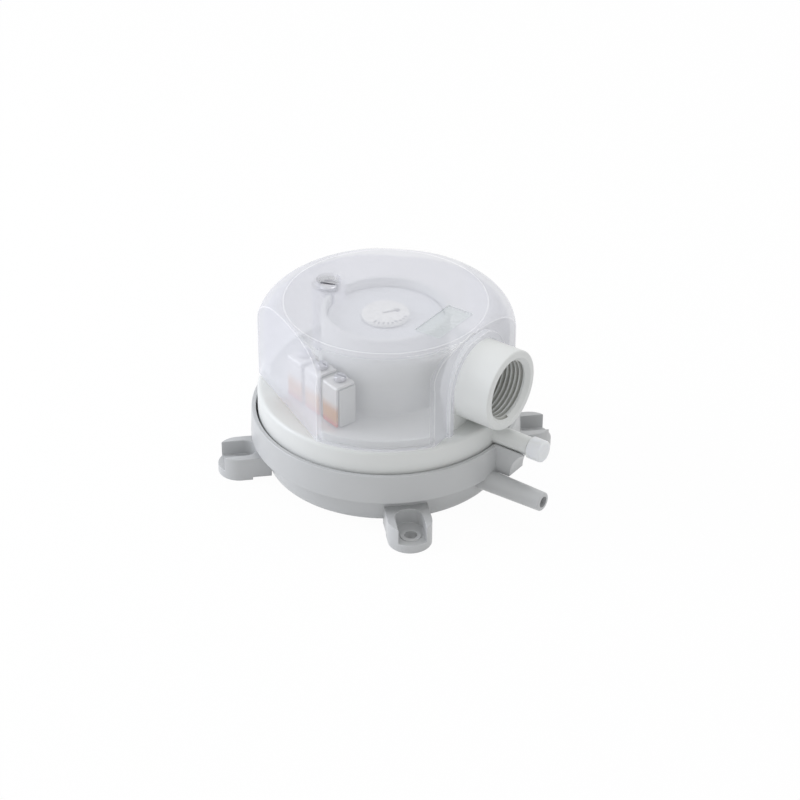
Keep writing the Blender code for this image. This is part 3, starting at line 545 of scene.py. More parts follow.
def maths(tree, operation, first, second):
    """What an operation makes of two inputs, each a socket or a plain value."""
    node = tree.nodes.new("ShaderNodeMath")
    node.operation = operation
    for socket, value in zip(node.inputs, (first, second)):
        if isinstance(value, float):
            socket.default_value = value
        else:
            tree.links.new(value, socket)
    return node.outputs[0]


def noise(tree, scale, detail=3.0):
    """Noise in the object's own coordinates, in cells per metre."""
    place = tree.nodes.new("ShaderNodeTexCoord")
    texture = tree.nodes.new("ShaderNodeTexNoise")
    texture.inputs["Scale"].default_value = scale
    texture.inputs["Detail"].default_value = detail
    tree.links.new(place.outputs["Object"], texture.inputs["Vector"])
    return texture.outputs["Fac"]


def spread(tree, source, first, last, low=0.0, high=1.0):
    """Carries a value from the range first to last over to the range low to high, and holds it there."""
    node = tree.nodes.new("ShaderNodeMapRange")
    for name, value in (("From Min", first), ("From Max", last), ("To Min", low), ("To Max", high)):
        node.inputs[name].default_value = value
    tree.links.new(source, node.inputs["Value"])
    return node.outputs["Result"]


def wander(tree, scale, low=0.0, high=1.0):
    """A value that wanders between two values across the piece."""
    return spread(tree, noise(tree, scale), noise_low, noise_high, low, high)


def tinted(tree, factor, first, second):
    """A colour between two others by a factor, each a socket or a plain colour."""
    mix = tree.nodes.new("ShaderNodeMix")
    mix.data_type = "RGBA"
    tree.links.new(factor, mix.inputs["Factor"])
    for socket, colour in ((mix.inputs[6], first), (mix.inputs[7], second)):
        if isinstance(colour, tuple):
            socket.default_value = (*colour, 1.0)
        else:
            tree.links.new(colour, socket)
    return mix.outputs[2]


def fade(tree, source, middle, width):
    """0 below a value and 1 above it, with a soft change across the width."""
    return spread(tree, source, middle - width / 2, middle + width / 2)


def clouded(tree, shader, scale, colour, shade):
    """Base colour with faint clouds of a second shade."""
    tree.links.new(tinted(tree, wander(tree, scale), colour, shade), shader.inputs["Base Color"])


def glossed(tree, shader, scale, low, high):
    """Roughness that wanders between two values."""
    tree.links.new(wander(tree, scale, low, high), shader.inputs["Roughness"])


def grained(tree, shader, scale, depth):
    """Fine relief of a moulded or cast face."""
    bump = tree.nodes.new("ShaderNodeBump")
    bump.inputs["Strength"].default_value = 0.5
    bump.inputs["Distance"].default_value = depth
    tree.links.new(noise(tree, scale, 2.0), bump.inputs["Height"])
    tree.links.new(bump.outputs["Normal"], shader.inputs["Normal"])


def moulded(name, colour, shade, roughness, grain=2500.0, depth=0.01 * mm):
    """Satin moulded plastic with faint flow clouds and a fine grain."""
    material, tree, shader = shader_of(name)
    clouded(tree, shader, 70.0, colour, shade)
    glossed(tree, shader, 400.0, roughness - 0.05, roughness + 0.05)
    shader.inputs["Specular IOR Level"].default_value = 0.45
    grained(tree, shader, grain, depth)
    return material


def clear_plastic(name, colour, roughness, facing_haze, edge_haze, light_share):
    """Polished see-through plastic with a faint haze, which thickens where a wall is seen edge on."""
    material, tree, shader = shader_of(name)
    clouded(tree, shader, 60.0, colour, tuple(0.985 * channel for channel in colour))
    glossed(tree, shader, 300.0, roughness * 0.6, roughness * 1.4)
    shader.inputs["IOR"].default_value = 1.5
    weight = tree.nodes.new("ShaderNodeLayerWeight")
    weight.inputs["Blend"].default_value = 0.5
    slant = maths(tree, "POWER", weight.outputs["Facing"], haze_power)
    haze = spread(tree, slant, 0.0, 1.0, facing_haze, edge_haze)
    rays = tree.nodes.new("ShaderNodeLightPath").outputs
    light = maths(tree, "MAXIMUM", rays["Is Shadow Ray"], rays["Is Diffuse Ray"])
    share = spread(tree, light, 0.0, 1.0, 1.0, light_share)
    tree.links.new(maths(tree, "MULTIPLY", haze, share), shader.inputs["Alpha"])
    shader.inputs["Alpha"].default_value = facing_haze
    return material


def milky_plastic(name, colour):
    """Milky soft plastic that lets some light through."""
    material, tree, shader = shader_of(name)
    clouded(tree, shader, 200.0, colour, tuple(0.96 * channel for channel in colour))
    shader.inputs["Roughness"].default_value = 0.28
    shader.inputs["Subsurface Weight"].default_value = 0.35
    shader.inputs["Subsurface Radius"].default_value = (0.0012, 0.0012, 0.0014)
    shader.inputs["Subsurface Scale"].default_value = 1.0
    grained(tree, shader, 1500.0, 0.01 * mm)
    return material


def scratched(tree, shader, metallic, roughness):
    """Metal with fine scratches in its gloss."""
    shader.inputs["Metallic"].default_value = metallic
    glossed(tree, shader, 1500.0, roughness - 0.08, roughness + 0.08)
    grained(tree, shader, 4000.0, 0.005 * mm)


def metal(name, colour, shade, roughness):
    """Plated or stamped metal."""
    material, tree, shader = shader_of(name)
    clouded(tree, shader, 500.0, colour, shade)
    scratched(tree, shader, 1.0, roughness)
    return material


def strip_metal(name, bare, foot, tinned, roughness):
    """Bare copper alloy strip, reddened at its foot and tinned above."""
    material, tree, shader = shader_of(name)
    place = tree.nodes.new("ShaderNodeTexCoord")
    parts = tree.nodes.new("ShaderNodeSeparateXYZ")
    tree.links.new(place.outputs["Object"], parts.inputs["Vector"])
    height = parts.outputs["Z"]
    lower = tinted(tree, fade(tree, height, foot_height, foot_fade), foot, bare)
    whole = tinted(tree, fade(tree, height, tin_height, tin_fade), lower, tinned)
    tree.links.new(whole, shader.inputs["Base Color"])
    scratched(tree, shader, 0.4, roughness)
    return material


def make_materials():
    """All the finishes, by the names that the makers below use."""
    return {
        "grey": moulded("mid_grey_moulding", (0.55, 0.56, 0.565), (0.53, 0.54, 0.545), 0.33),
        "ivory": moulded("pale_ivory_moulding", (0.73, 0.745, 0.735), (0.71, 0.725, 0.715), 0.38),
        # Darker ivory for the faces of the thread's groove: painted shade in the groove.
        "thread": moulded("thread_root_painted_shade", (0.56, 0.565, 0.54), (0.52, 0.525, 0.50), 0.5),
        "white": moulded("white_knob_moulding", (0.88, 0.88, 0.83), (0.86, 0.86, 0.81), 0.35),
        "disc": moulded("scale_disc_moulding", (0.72, 0.74, 0.75), (0.70, 0.72, 0.73), 0.4),
        "ink": moulded("printed_ink", (0.16, 0.16, 0.17), (0.14, 0.14, 0.15), 0.5),
        "switch": moulded("switch_moulding", (0.62, 0.63, 0.60), (0.60, 0.61, 0.58), 0.45),
        "works": moulded("mechanism_moulding", (0.55, 0.56, 0.53), (0.53, 0.54, 0.51), 0.4),
        "plate": moulded("dark_plate_moulding", (0.05, 0.05, 0.055), (0.04, 0.04, 0.045), 0.5),
        "button": moulded("red_button_moulding", (0.45, 0.03, 0.02), (0.40, 0.025, 0.018), 0.35),
        "silicone": moulded("silicone_sheet", (0.62, 0.62, 0.58), (0.58, 0.58, 0.54), 0.6),
        "steel": metal("zinc_plated_steel", (0.62, 0.62, 0.64), (0.52, 0.52, 0.55), 0.32),
        "copper": strip_metal("copper_strip", (0.62, 0.33, 0.12), (0.62, 0.15, 0.11), (0.74, 0.74, 0.72),
                              0.55),
        "clear": clear_plastic("clear_cover_plastic", (0.70, 0.705, 0.755), 0.08, 0.22, 0.74, 0.25),
        # Whiter and hazier copy of the clear plastic for the rounded edges of the cover: a painted highlight.
        "clear_painted_edge_highlight": clear_plastic("clear_cover_painted_edge_highlight", (0.88, 0.88, 0.92), 0.15, 0.32, 0.80, 0.25),
        "field": clear_plastic("bare_label_field", (0.60, 0.645, 0.655), 0.30, 0.38, 0.80, 0.25),
        "milky": milky_plastic("milky_cap_plastic", (0.84, 0.86, 0.89)),
    }


def lug_shape():
    """One fixing lug along +X: round-ended pad, open slot, and a raised ring round its hole."""
    half = lug_half_width
    outline = [(chamber_radius + cup_rim / 2, -half)]
    outline += arc(lug_circle, 0.0, half, -90.0, 90.0, lug_end_steps)
    outline.append((chamber_radius + cup_rim / 2, half))
    lug = raised("lug", outline, 0.0, lug_height)
    far = lug_circle + 2 * half
    top = lug_height + overcut
    slot = arc(lug_slot_start + lug_slot_half_width, 0.0, lug_slot_half_width, 90.0, 270.0, lug_slot_steps)
    slot += [(far, -lug_slot_half_width), (far, lug_slot_half_width)]
    cut(lug, raised("lug_slot", slot, lug_slot_floor, top))
    softened(lug, lug_fillet, lug_edge_angle, lug_edge_segments)
    ring = rod("lug_ring", lug_boss_radius, foot_step, boss_top, hole_steps, shift(lug_hole_circle))
    fuse(lug, softened(ring, lug_fillet / 2))
    cut(lug, rod("lug_hole", lug_hole_radius, -overcut, top, hole_steps, shift(lug_hole_circle)))
    cut(lug, block("lug_relief", (0.0, -2 * half, -overcut), (foot_start, 2 * half, foot_step)))
    return lug


def make_lower_housing(materials):
    """Grey moulding: cup, ring, lugs, lower nozzle and the web under the upper nozzle."""
    foot_radius = cup_radius - cup_draft
    outline = rounded([
        (0.0, stop_top, 0.0), (stop_radius, stop_top, 0.3 * mm), (stop_radius, floor_top, 0.4 * mm),
        (chamber_radius, floor_top, 0.8 * mm), (chamber_radius, ledge_height, 0.2 * mm),
        (ring_inner, ledge_height, 0.2 * mm), (ring_inner, ring_top, 0.25 * mm),
        (ring_radius, ring_top, 0.4 * mm), (ring_radius + ring_draft, ring_bottom, 0.35 * mm),
        (cup_radius, ring_bottom, 0.5 * mm), (foot_radius + 0.6 * mm, cup_bottom + 1.4 * mm, 2.0 * mm),
        (foot_radius, cup_bottom, 0.5 * mm), (foot_radius - cup_rim, cup_bottom, 0.4 * mm),
        (foot_radius - cup_rim, floor_low, 0.5 * mm), (pad_radius, floor_low, 0.5 * mm),
        (pad_radius, 0.0, 0.3 * mm), (0.0, 0.0, 0.0),
    ])
    housing = spun("lower_moulding", outline, large_steps)
    lug = lug_shape()
    lugs = [turned_copy(lug, angle) for angle in lug_angles]
    bpy.data.objects.remove(lug, do_unlink=True)
    fuse(housing, gathered("lugs", lugs))

    inside = ring_radius - (ring_radius - ring_inner) / 2
    outline = [(inside, web_high), (inside, web_low)]
    for index in range(web_steps + 1):
        rise = (web_high - web_low) * index / web_steps
        share = rise / web_flare_height
        flare = web_flare * (1.0 - math.sqrt(1.0 - share * share))
        outline.append((ring_radius + web_low_reach + flare, web_low + rise))
    web = raised("web", outline, -upper_nozzle_y - web_half_width, -upper_nozzle_y + web_half_width,
                 along_y())
    fuse(housing, softened(web, lug_fillet, lug_edge_angle, lug_edge_segments))

    at_nozzle = along_x(lower_nozzle_y, lower_nozzle_z)
    root = chamber_radius + overcut
    nozzle = rounded([(0.0, lower_nozzle_tip, 0.0), (nozzle_tip_radius, lower_nozzle_tip, nozzle_fillet),
                      (lower_nozzle_root, root, 0.0), (0.0, root, 0.0)])
    fuse(housing, spun("lower_nozzle", nozzle, small_steps, at_nozzle))
    cut(housing, rod("lower_bore", nozzle_bore, chamber_radius - overcut, lower_nozzle_tip + overcut,
                     hole_steps, at_nozzle))
    cut(housing, rod("nozzle_notch", upper_nozzle_root + fit_gap, ring_inner - overcut, lower_nozzle_tip,
                     small_steps, along_x(upper_nozzle_y, upper_nozzle_z)))
    return dress(housing, materials["grey"], "housing", "lower_plastic", "lower_housing")


def thread_groove(materials):
    """Helical groove of the inlet's thread, spun along its pitch. Its faces take a darker ivory, which is
    painted shade in the groove.
    """
    shape = bmesh.new()
    root = inlet_bore - fit_gap
    tip = inlet_bore + thread_depth
    wide = thread_root_share * thread_pitch
    narrow = thread_tip_share * thread_pitch
    corners = [(root, -wide), (tip, -narrow), (tip, narrow), (root, wide)]
    points = [shape.verts.new((radius, 0.0, height)) for radius, height in corners]
    face = shape.faces.new(points)
    bmesh.ops.spin(shape, geom=[face], axis=(0.0, 0.0, 1.0), cent=(0.0, 0.0, 0.0),
                   dvec=(0.0, 0.0, thread_pitch / small_steps), angle=2.0 * math.pi * thread_turns,
                   steps=small_steps * thread_turns)
    start = inlet_face - inlet_mouth - thread_turns * thread_pitch
    for turn in shape.faces:
        turn.material_index = 1
    groove = new_piece("thread_groove", shape, shift(start) @ along_x(0.0, inlet_height))
    groove.data.materials.append(materials["ivory"])
    groove.data.materials.append(materials["thread"])
    return groove


def band_and_tower():
    """Band with its lip, deck, hollow tower and spring tube, with the channel and post of the cover screw."""
    lip_radius = band_radius - cover_wall - snap_gap
    lip_inside = lip_radius - lip_wall
    lip_top = band_top + lip_height
    tower_inside = tower_radius - tower_wall
    outline = rounded([
        (tube_radius, tower_lid_low, 0.0), (shaft_radius + fit_gap, tower_lid_low, 0.0),
        (shaft_radius + fit_gap, tower_lid_high, 0.2 * mm), (tower_inside, tower_lid_high, 0.3 * mm),
        (tower_inside, tower_top, 0.4 * mm), (tower_radius, tower_top, 0.6 * mm),
        (tower_radius, band_top, 0.8 * mm), (lip_inside, band_top, 0.3 * mm),
        (lip_inside, lip_top, 0.3 * mm), (lip_radius, lip_top, 0.3 * mm),
        (lip_radius, band_top, 0.2 * mm), (band_radius, band_top, band_edge),
        (band_radius, band_bottom, 0.2 * mm), (upper_chamber_radius, band_bottom, 0.2 * mm),
        (upper_chamber_radius, deck_low, 0.6 * mm), (tube_radius, deck_low, 0.3 * mm),
    ])
    housing = spun("upper_moulding", outline, large_steps, closed=True)
    for angle in flat_angles:
        cut(housing, flat_cutter(flat_distance - cover_wall - snap_gap, band_top, angle))

    cavity = [(tube_radius + tube_wall, tower_lid_low), (tower_inside, tower_lid_low),
              (tower_inside, band_top), (tube_radius + tube_wall, band_top)]
    hollow = spun("tower_cavity", cavity, middle_steps, closed=True)
    at_screw = shift(screw_x)
    channel = column_radius + snap_gap
    cut(hollow, rod("channel_keep", channel + channel_wall, band_top - overcut, tower_top + overcut,
                    small_steps, at_screw))
    cut(housing, hollow)
    cut(housing, rod("column_channel", channel, band_top, tower_top + overcut, small_steps, at_screw))
    fuse(housing, rod("screw_post", post_radius, band_top - overcut, column_bottom - fit_gap, small_steps,
                      at_screw))
    cut(housing, rod("screw_hole", screw_shank_radius + fit_gap, screw_end - overcut, column_bottom,
                     hole_steps, at_screw))
    return housing


def open_for_switch(housing):
    """Window in the tower, the lever's two ears and the holes for its pin and the push pin."""
    in_switch = about_z(switch_angle)
    window = block("switch_window", (-window_half_width, -band_radius, band_top),
                   (window_half_width, -window_start, window_top), in_switch)
    combine(window, rod("window_reach", tower_radius + overcut, band_top - overcut, cover_top, middle_steps),
            "INTERSECT")
    cut(housing, window)
    for start in (ear_inner, -ear_inner - ear_thickness):
        fuse(housing, block("lever_ear", (start, pivot_y - ear_half_depth, band_top - overcut),
                            (start + ear_thickness, pivot_y + ear_half_depth, pivot_z + ear_over_pin),
                            in_switch, ear_edge))
    cut(housing, rod("lever_pin_hole", lever_pin_radius + fit_gap, -2 * ear_inner, 2 * ear_inner,
                     hole_steps, in_switch @ along_x(pivot_y, pivot_z)))
    cut(housing, rod("push_hole", push_pin_radius + snap_gap, deck_low - overcut, band_top + overcut,
                     hole_steps, in_switch @ shift(0.0, -push_pin_offset)))


def add_inlet(housing, materials):
    """Boss of the cable inlet on its skirt, with a bore that opens at the mouth and its thread."""
    place = along_x(0.0, inlet_height)
    inlet = rounded([(0.0, inlet_face, 0.0), (inlet_radius, inlet_face, 0.6 * mm),
                     (inlet_radius, inlet_start, 0.0), (0.0, inlet_start, 0.0)])
    fuse(housing, spun("inlet", inlet, middle_steps, place))
    fuse(housing, block("inlet_skirt", (skirt_start, -skirt_half_width, band_top - overcut),
                        (skirt_end, skirt_half_width, inlet_height)))
    bore = [(0.0, inlet_face + overcut), (inlet_bore + inlet_mouth + overcut, inlet_face + overcut),
            (inlet_bore, inlet_face - inlet_mouth), (inlet_bore, inlet_start - overcut),
            (0.0, inlet_start - overcut)]
    cut(housing, spun("inlet_bore", bore, middle_steps, place))
    housing.data.materials.append(materials["ivory"])
    # The second finish is the darker ivory of the thread's groove, painted shade.
    housing.data.materials.append(materials["thread"])
    cut(housing, thread_groove(materials))


def make_upper_housing(materials):
    """Ivory moulding: band, deck, tower, spring tube, threaded inlet and upper nozzle."""
    housing = band_and_tower()
    open_for_switch(housing)
    add_inlet(housing, materials)
    at_nozzle = along_x(upper_nozzle_y, upper_nozzle_z)
    root = upper_chamber_radius + overcut
    stepped = rounded([
        (0.0, upper_nozzle_tip, 0.0), (spigot_radius, upper_nozzle_tip, nozzle_fillet),
        (spigot_radius, spigot_start, 0.1 * mm), (upper_nozzle_end, spigot_start, 0.15 * mm),
        (upper_nozzle_root, root, 0.0), (0.0, root, 0.0),
    ])
    fuse(housing, spun("upper_nozzle", stepped, small_steps, at_nozzle))
    cut(housing, rod("upper_bore", nozzle_bore, upper_chamber_radius - overcut, upper_nozzle_tip + overcut,
                     hole_steps, at_nozzle))
    return dress(housing, materials["ivory"], "housing", "upper_plastic", "upper_housing")


def edged(piece, width, angle, materials):
    """Rounds off the sharp edges of a clear shape, and gives the rounds a whiter, hazier finish: a painted
    highlight along the edges.
    """
    shape = bmesh.new()
    shape.from_mesh(piece.data)
    join_planes(shape)
    bmesh.ops.remove_doubles(shape, verts=shape.verts, dist=width)
    sharp = [line for line in shape.edges
             if len(line.link_faces) == 2 and line.calc_face_angle() > math.radians(angle)]
    made = bmesh.ops.bevel(shape, geom=sharp, offset=width, offset_type="OFFSET", affect="EDGES",
                           segments=2, profile=0.5, material=-1, clamp_overlap=True)
    for face in made["faces"]:
        face.material_index = 1
    piece.data.materials.append(materials["clear"])
    piece.data.materials.append(materials["clear_painted_edge_highlight"])
    shape.to_mesh(piece.data)
    shape.free()


def flat_cutter(distance, low, angle):
    """What lies outside one flat of the cover: upright below its bend, leaning in above it."""
    high = cover_top + overcut
    far = 2 * band_radius
    lean = flat_lean * (high - flat_bend_height)
    outline = [(distance, low), (far, low), (far, high), (distance - lean, high),
               (distance, flat_bend_height)]
    return raised("flat_cutter", outline, -band_radius, band_radius, about_z(angle) @ along_y())


def dome(name, radius, top, face_radius, bottom, crease=0.0):
    """A domed shape with a flat face, a rounded shoulder and an upright wall, creased round its face."""
    outline = [(0.0, top)]
    start = cover_top - shoulder_height
    least = math.sin(math.radians(crease))
    most = math.cos(math.radians(crease))
    for index in range(shoulder_steps + 1):
        angle = math.radians((90.0 - crease) * (1 - index / shoulder_steps))
        reach = (radius - face_radius) * (math.cos(angle) - least) / (1.0 - least)
        rise = (top - start) * math.sin(angle) / most
        outline.append((face_radius + reach, start + rise))
    outline += [(radius, bottom), (0.0, bottom)]
    return spun(name, outline, large_steps)


def make_cover(materials):
    """Clear dome with three flats, the slot over the inlet, the screw column and the bare label field."""
    cover = dome("clear_dome", band_radius, cover_top, cover_face_radius, cover_low, face_crease)
    inside = dome("dome_inside", band_radius - cover_wall, cover_top - cover_wall,
                  cover_face_radius - cover_wall / 2, cover_low - overcut)
    for angle in flat_angles:
        cut(cover, flat_cutter(flat_distance, cover_low - 5 * overcut, angle))
        cut(inside, flat_cutter(flat_distance - cover_wall, cover_low - 5 * overcut, angle))
    # The rounded edges take the painted highlight.
    edged(cover, cover_edge, cover_edge_angle, materials)
    edged(inside, inner_edge, inner_edge_angle, materials)

    slot_radius = inlet_radius + fit_gap
    rib_radius = slot_radius + slot_rib_width
    rib = raised("slot_rib", arc(0.0, inlet_height, rib_radius, 0.0, 180.0, small_steps)
                 + [(-rib_radius, cover_low), (rib_radius, cover_low)],
                 flat_distance - cover_wall / 2, flat_distance + slot_rib_height, facing_x())
    limit = rod("rib_limit", band_radius, cover_low - overcut, cover_top - slot_rib_height, large_steps)
    combine(rib, limit, "INTERSECT")
    edged(rib, rib_edge, rib_edge_angle, materials)
    fuse(cover, rib)
    cut(cover, inside)

    at_screw = shift(screw_x)
    fuse(cover, rod("screw_column", column_radius, column_bottom, cover_top - cover_wall / 2, small_steps,
                    at_screw))
    well = rounded([(0.0, cover_top + overcut, 0.0), (well_radius, cover_top + overcut, 0.0),
                    (well_radius, well_floor, well_corner), (0.0, well_floor, 0.0)])
    cut(cover, spun("screw_well", well, small_steps, at_screw))
    cut(cover, rod("shank_hole", screw_shank_radius + fit_gap, column_bottom - overcut, cover_top,
                   hole_steps, at_screw))
    slot = arc(0.0, inlet_height, slot_radius, 0.0, 180.0, small_steps)
    slot += [(-slot_radius, cover_low - overcut), (slot_radius, cover_low - overcut)]
    cut(cover, raised("inlet_slot", slot, flat_distance - cover_wall - 4 * overcut, band_radius,
                      facing_x()))
    corners = ((-1, -1), (1, -1), (1, 1), (-1, 1))
    field = rounded([(label_x + along * label_length / 2, across * label_width / 2, label_corner)
                     for along, across in corners])
    cover.data.materials.append(materials["field"])
    sunk = raised("label_field", field, cover_top - label_depth, cover_top + overcut)
    for name in ("clear", "clear_painted_edge_highlight", "field"):
        sunk.data.materials.append(materials[name])
    for face in sunk.data.polygons:
        face.material_index = 2
    cut(cover, sunk)
    return dress(cover, materials["clear"], "cover", "clear_plastic", "cover")


def screw_shape(name, head_radius, head_height, radius, top, end, slot, place):
    """A pan head screw with a straight slot."""
    under = top - head_height
    outline = rounded([(0.0, top, 0.0), (head_radius, top, head_top_share * head_height),
                       (head_radius, under, head_rim_share * head_height), (radius, under, 0.0),
                       (radius, end + radius / 2, 0.0), (radius / 2, end, 0.0), (0.0, end, 0.0)])
    screw = spun(name, outline, small_steps)
    cut(screw, block("screw_slot", (-2 * head_radius, -slot / 2, top - slot),
                     (2 * head_radius, slot / 2, top + overcut)))
    screw.data.transform(place)
    return screw


def make_cover_screw(materials):
    """Captive steel screw in the cover's sunk well."""
    screw = screw_shape("captive_screw", screw_head_radius, screw_head_height, screw_shank_radius,
                        well_floor + fit_gap + screw_head_height, screw_end, screw_slot,
                        shift(screw_x) @ about_z(screw_turn))
    return dress(screw, materials["steel"], "cover_screw", "steel", "cover_screw")


def make_cap(materials):
    """Milky cap pushed over the upper nozzle's spigot."""
    inside = spigot_radius + fit_gap
    outside = inside + cap_wall
    inner_end = upper_nozzle_tip + fit_gap
    outer_end = inner_end + cap_wall
    start = outer_end - cap_length
    outline = rounded([(0.0, outer_end, 0.0), (outside, outer_end, 0.7 * mm), (outside, start, 0.25 * mm),
                       (inside, start, 0.2 * mm), (inside, inner_end, 0.3 * mm), (0.0, inner_end, 0.0)])
    cap = spun("push_on_cap", outline, small_steps, along_x(upper_nozzle_y, upper_nozzle_z))
    return dress(cap, materials["milky"], "cap", "cap_plastic", "nozzle_cap")


def make_knob(materials):
    """White setting knob on its shaft, with a sunk arrow and printed graduations near its edge."""
    clip_low = tower_lid_low - 2 * fit_gap - clip_thickness
    groove = shaft_radius - groove_depth
    outline = rounded([
        (0.0, knob_high, 0.0), (knob_radius, knob_high, 0.35 * mm), (knob_radius, knob_low, 0.15 * mm),
        (shaft_radius, knob_low, 0.2 * mm), (shaft_radius, tower_lid_low, 0.0),
        (groove, tower_lid_low, 0.0), (groove, clip_low, 0.0), (shaft_radius, clip_low, 0.0),
        (shaft_radius, shaft_end, 0.4 * mm), (0.0, shaft_end, 0.0),
    ])
    knob = spun("setting_disc", outline, middle_steps)
    neck = arrow_length - 2 * arrow_width
    half = arrow_width / 2
    arrow = [(arrow_tail, -half), (neck, -half), (neck, -3 * half), (arrow_length, 0.0), (neck, 3 * half),
             (neck, half), (arrow_tail, half)]
    turn = about_z(arrow_angle)
    floor = knob_high - arrow_depth
    cut(knob, raised("arrow_slot", arrow, floor, knob_high + overcut, turn))
    dress(knob, materials["white"], "knob", "white_plastic", "dial_knob")

    inlay = [(x * inlay_length_share, y * inlay_width_share) for x, y in arrow]
    mark = raised("arrow_inlay", inlay, floor, floor + inlay_thickness, turn)
    dress(mark, materials["ink"], "knob", "white_plastic")
    lines = []
    for index in range(graduation_count):
        length = long_graduation if index % long_graduation_every == 0 else short_graduation
        line = block("graduation", (graduation_end - length, -graduation_width / 2, knob_high),
                     (graduation_end, graduation_width / 2, knob_high + print_thickness),
                     about_z(graduation_start + graduation_step * index))
        lines.append(line)
    dress(gathered("graduations", lines), materials["ink"], "knob", "white_plastic")


def make_scale(materials):
    """Pale disc in the tower's top, notched beside the screw's channel."""
    outer = tower_radius - tower_wall - fit_gap
    outline = rounded([(shaft_radius + fit_gap, scale_high, 0.15 * mm), (outer, scale_high, 0.25 * mm),
                       (outer, scale_low, 0.0), (shaft_radius + fit_gap, scale_low, 0.0)])
    disc = spun("scale_disc", outline, middle_steps, closed=True)
    cut(disc, rod("scale_notch", column_radius + snap_gap, scale_low - overcut, scale_high + overcut,
                  small_steps, shift(screw_x)))
    return dress(disc, materials["disc"], "housing", "white_plastic", "scale_ring")


def make_switch(materials):
    """Snap switch with three bent terminals and their screws."""
    in_switch = about_z(switch_angle)
    body = block("switch_case", (-switch_half_width, switch_front, switch_low),
                 (switch_half_width, switch_back, switch_high), in_switch, switch_edge)
    middle_y = (switch_front + switch_back) / 2
    tab_low = switch_high + fit_gap
    tab_high = tab_low + terminal_thickness
    offsets = [(index - 1) * terminal_pitch for index in range(len(terminal_names))]
    hole = terminal_screw_radius + fit_gap
    for x in offsets:
        cut(body, rod("screw_hole", hole, tab_low - terminal_screw_depth - 2 * fit_gap,
                      switch_high + overcut, hole_steps, in_switch @ shift(x, middle_y)))
    cut(body, rod("button_hole", button_radius + fit_gap, -switch_back - overcut, -switch_back + button_depth,
                  hole_steps, in_switch @ shift(z=pivot_z + lever_rise) @ along_y()))
    dress(body, materials["switch"], "housing", "switch_plastic", "switch_body")

    plate_back = switch_front - fit_gap
    plate_front = plate_back - terminal_thickness
    foot = switch_low + terminal_foot
    outline = rounded([
        (switch_back - fit_gap, tab_low, 0.0), (switch_back - fit_gap, tab_high, 0.0),
        (plate_front, tab_high, terminal_bend_radius), (plate_front, foot, 0.0),
        (plate_back, foot, 0.0), (plate_back, tab_low, 0.0),
    ])
    for name, x in zip(terminal_names, offsets):
        place = in_switch @ shift(x, middle_y)
        strip = raised(f"{name}_strip", outline, -terminal_half_width, terminal_half_width,
                       in_switch @ shift(x) @ facing_x(), terminal_edge)
        cut(strip, rod("strip_hole", hole, tab_low - overcut, tab_high + overcut, hole_steps, place))
        dress(strip, materials["copper"], "housing", "copper", f"terminal_{name}")
        turn = about_z(terminal_screw_turn * x / terminal_pitch)
        screw = screw_shape(f"{name}_clamp_screw", terminal_head_radius, terminal_head_height,
                            terminal_screw_radius, tab_high + fit_gap + terminal_head_height,
                            tab_low - terminal_screw_depth, terminal_screw_slot, place @ turn)
        dress(screw, materials["steel"], f"{name}_screw", "steel", f"terminal_screw_{name}")


def coil(name, start, stretches):
    """Wire wound about Z from a height, through stretches of (turns, pitch)."""
    shape = bmesh.new()
    bmesh.ops.create_circle(shape, cap_ends=True, segments=wire_steps, radius=spring_wire,
                            matrix=shift(spring_radius, 0.0, start) @ along_y())
    last = shape.faces[:]
    for turns, pitch in stretches:
        made = bmesh.ops.spin(shape, geom=last, axis=(0.0, 0.0, 1.0), cent=(0.0, 0.0, 0.0),
                              dvec=(0.0, 0.0, pitch / coil_steps), angle=2.0 * math.pi * turns,
                              steps=coil_steps * turns)
        last = [item for item in made["geom_last"] if isinstance(item, bmesh.types.BMFace)]
    return new_piece(name, shape)


def make_spring(materials):
    """Range spring as two halves, wound from the plate below it up to the seat above it."""
    lowest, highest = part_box("range_spring")
    low = lowest[2] + spring_wire
    high = highest[2] - spring_wire
    middle = (low + high) / 2
    half_turns = spring_free_turns // 2
    pitch = (high - low - 2 * spring_end_pitch) / spring_free_turns
    lower = coil("spring_lower_half", low, [(1, spring_end_pitch), (half_turns, pitch)])
    upper = coil("spring_upper_half", middle, [(half_turns, pitch), (1, spring_end_pitch)])
    room = spring_wire + spring_end_pitch
    for half, body, end in ((lower, "plate", low + room), (upper, "spring_seat", high - room)):
        finish(half, materials["steel"])
        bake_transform(half)
        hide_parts("range_spring")


def finish_kept_nodes(nodes, materials):
    """The hidden works keep their own shapes and get their finishes."""
    finishes = {
        "diaphragm": "silicone", "diaphragm_plate": "plate", "spring_seat": "works", "shaft_clip": "steel",
        "switch_lever": "works", "switch_button": "button", "lever_pin": "steel",
    }
    for name, look in finishes.items():
        nodes[name].data.materials.clear()
        nodes[name].data.materials.append(materials[look])


def seen_directly(tree):
    """1 where a camera, mirror or glass ray looks at the surface, else 0."""
    rays = tree.nodes.new("ShaderNodeLightPath").outputs
    seen = maths(tree, "MAXIMUM", rays["Is Camera Ray"], rays["Is Glossy Ray"])
    return maths(tree, "MAXIMUM", seen, rays["Is Transmission Ray"])


def mixed(tree, share, first, second, output):
    """Shows a mix of two shaders by a share."""
    mix = tree.nodes.new("ShaderNodeMixShader")
    tree.links.new(share, mix.inputs["Fac"])
    tree.links.new(first.outputs[0], mix.inputs[1])
    tree.links.new(second.outputs[0], mix.inputs[2])
    tree.links.new(mix.outputs[0], tree.nodes[output].inputs["Surface"])


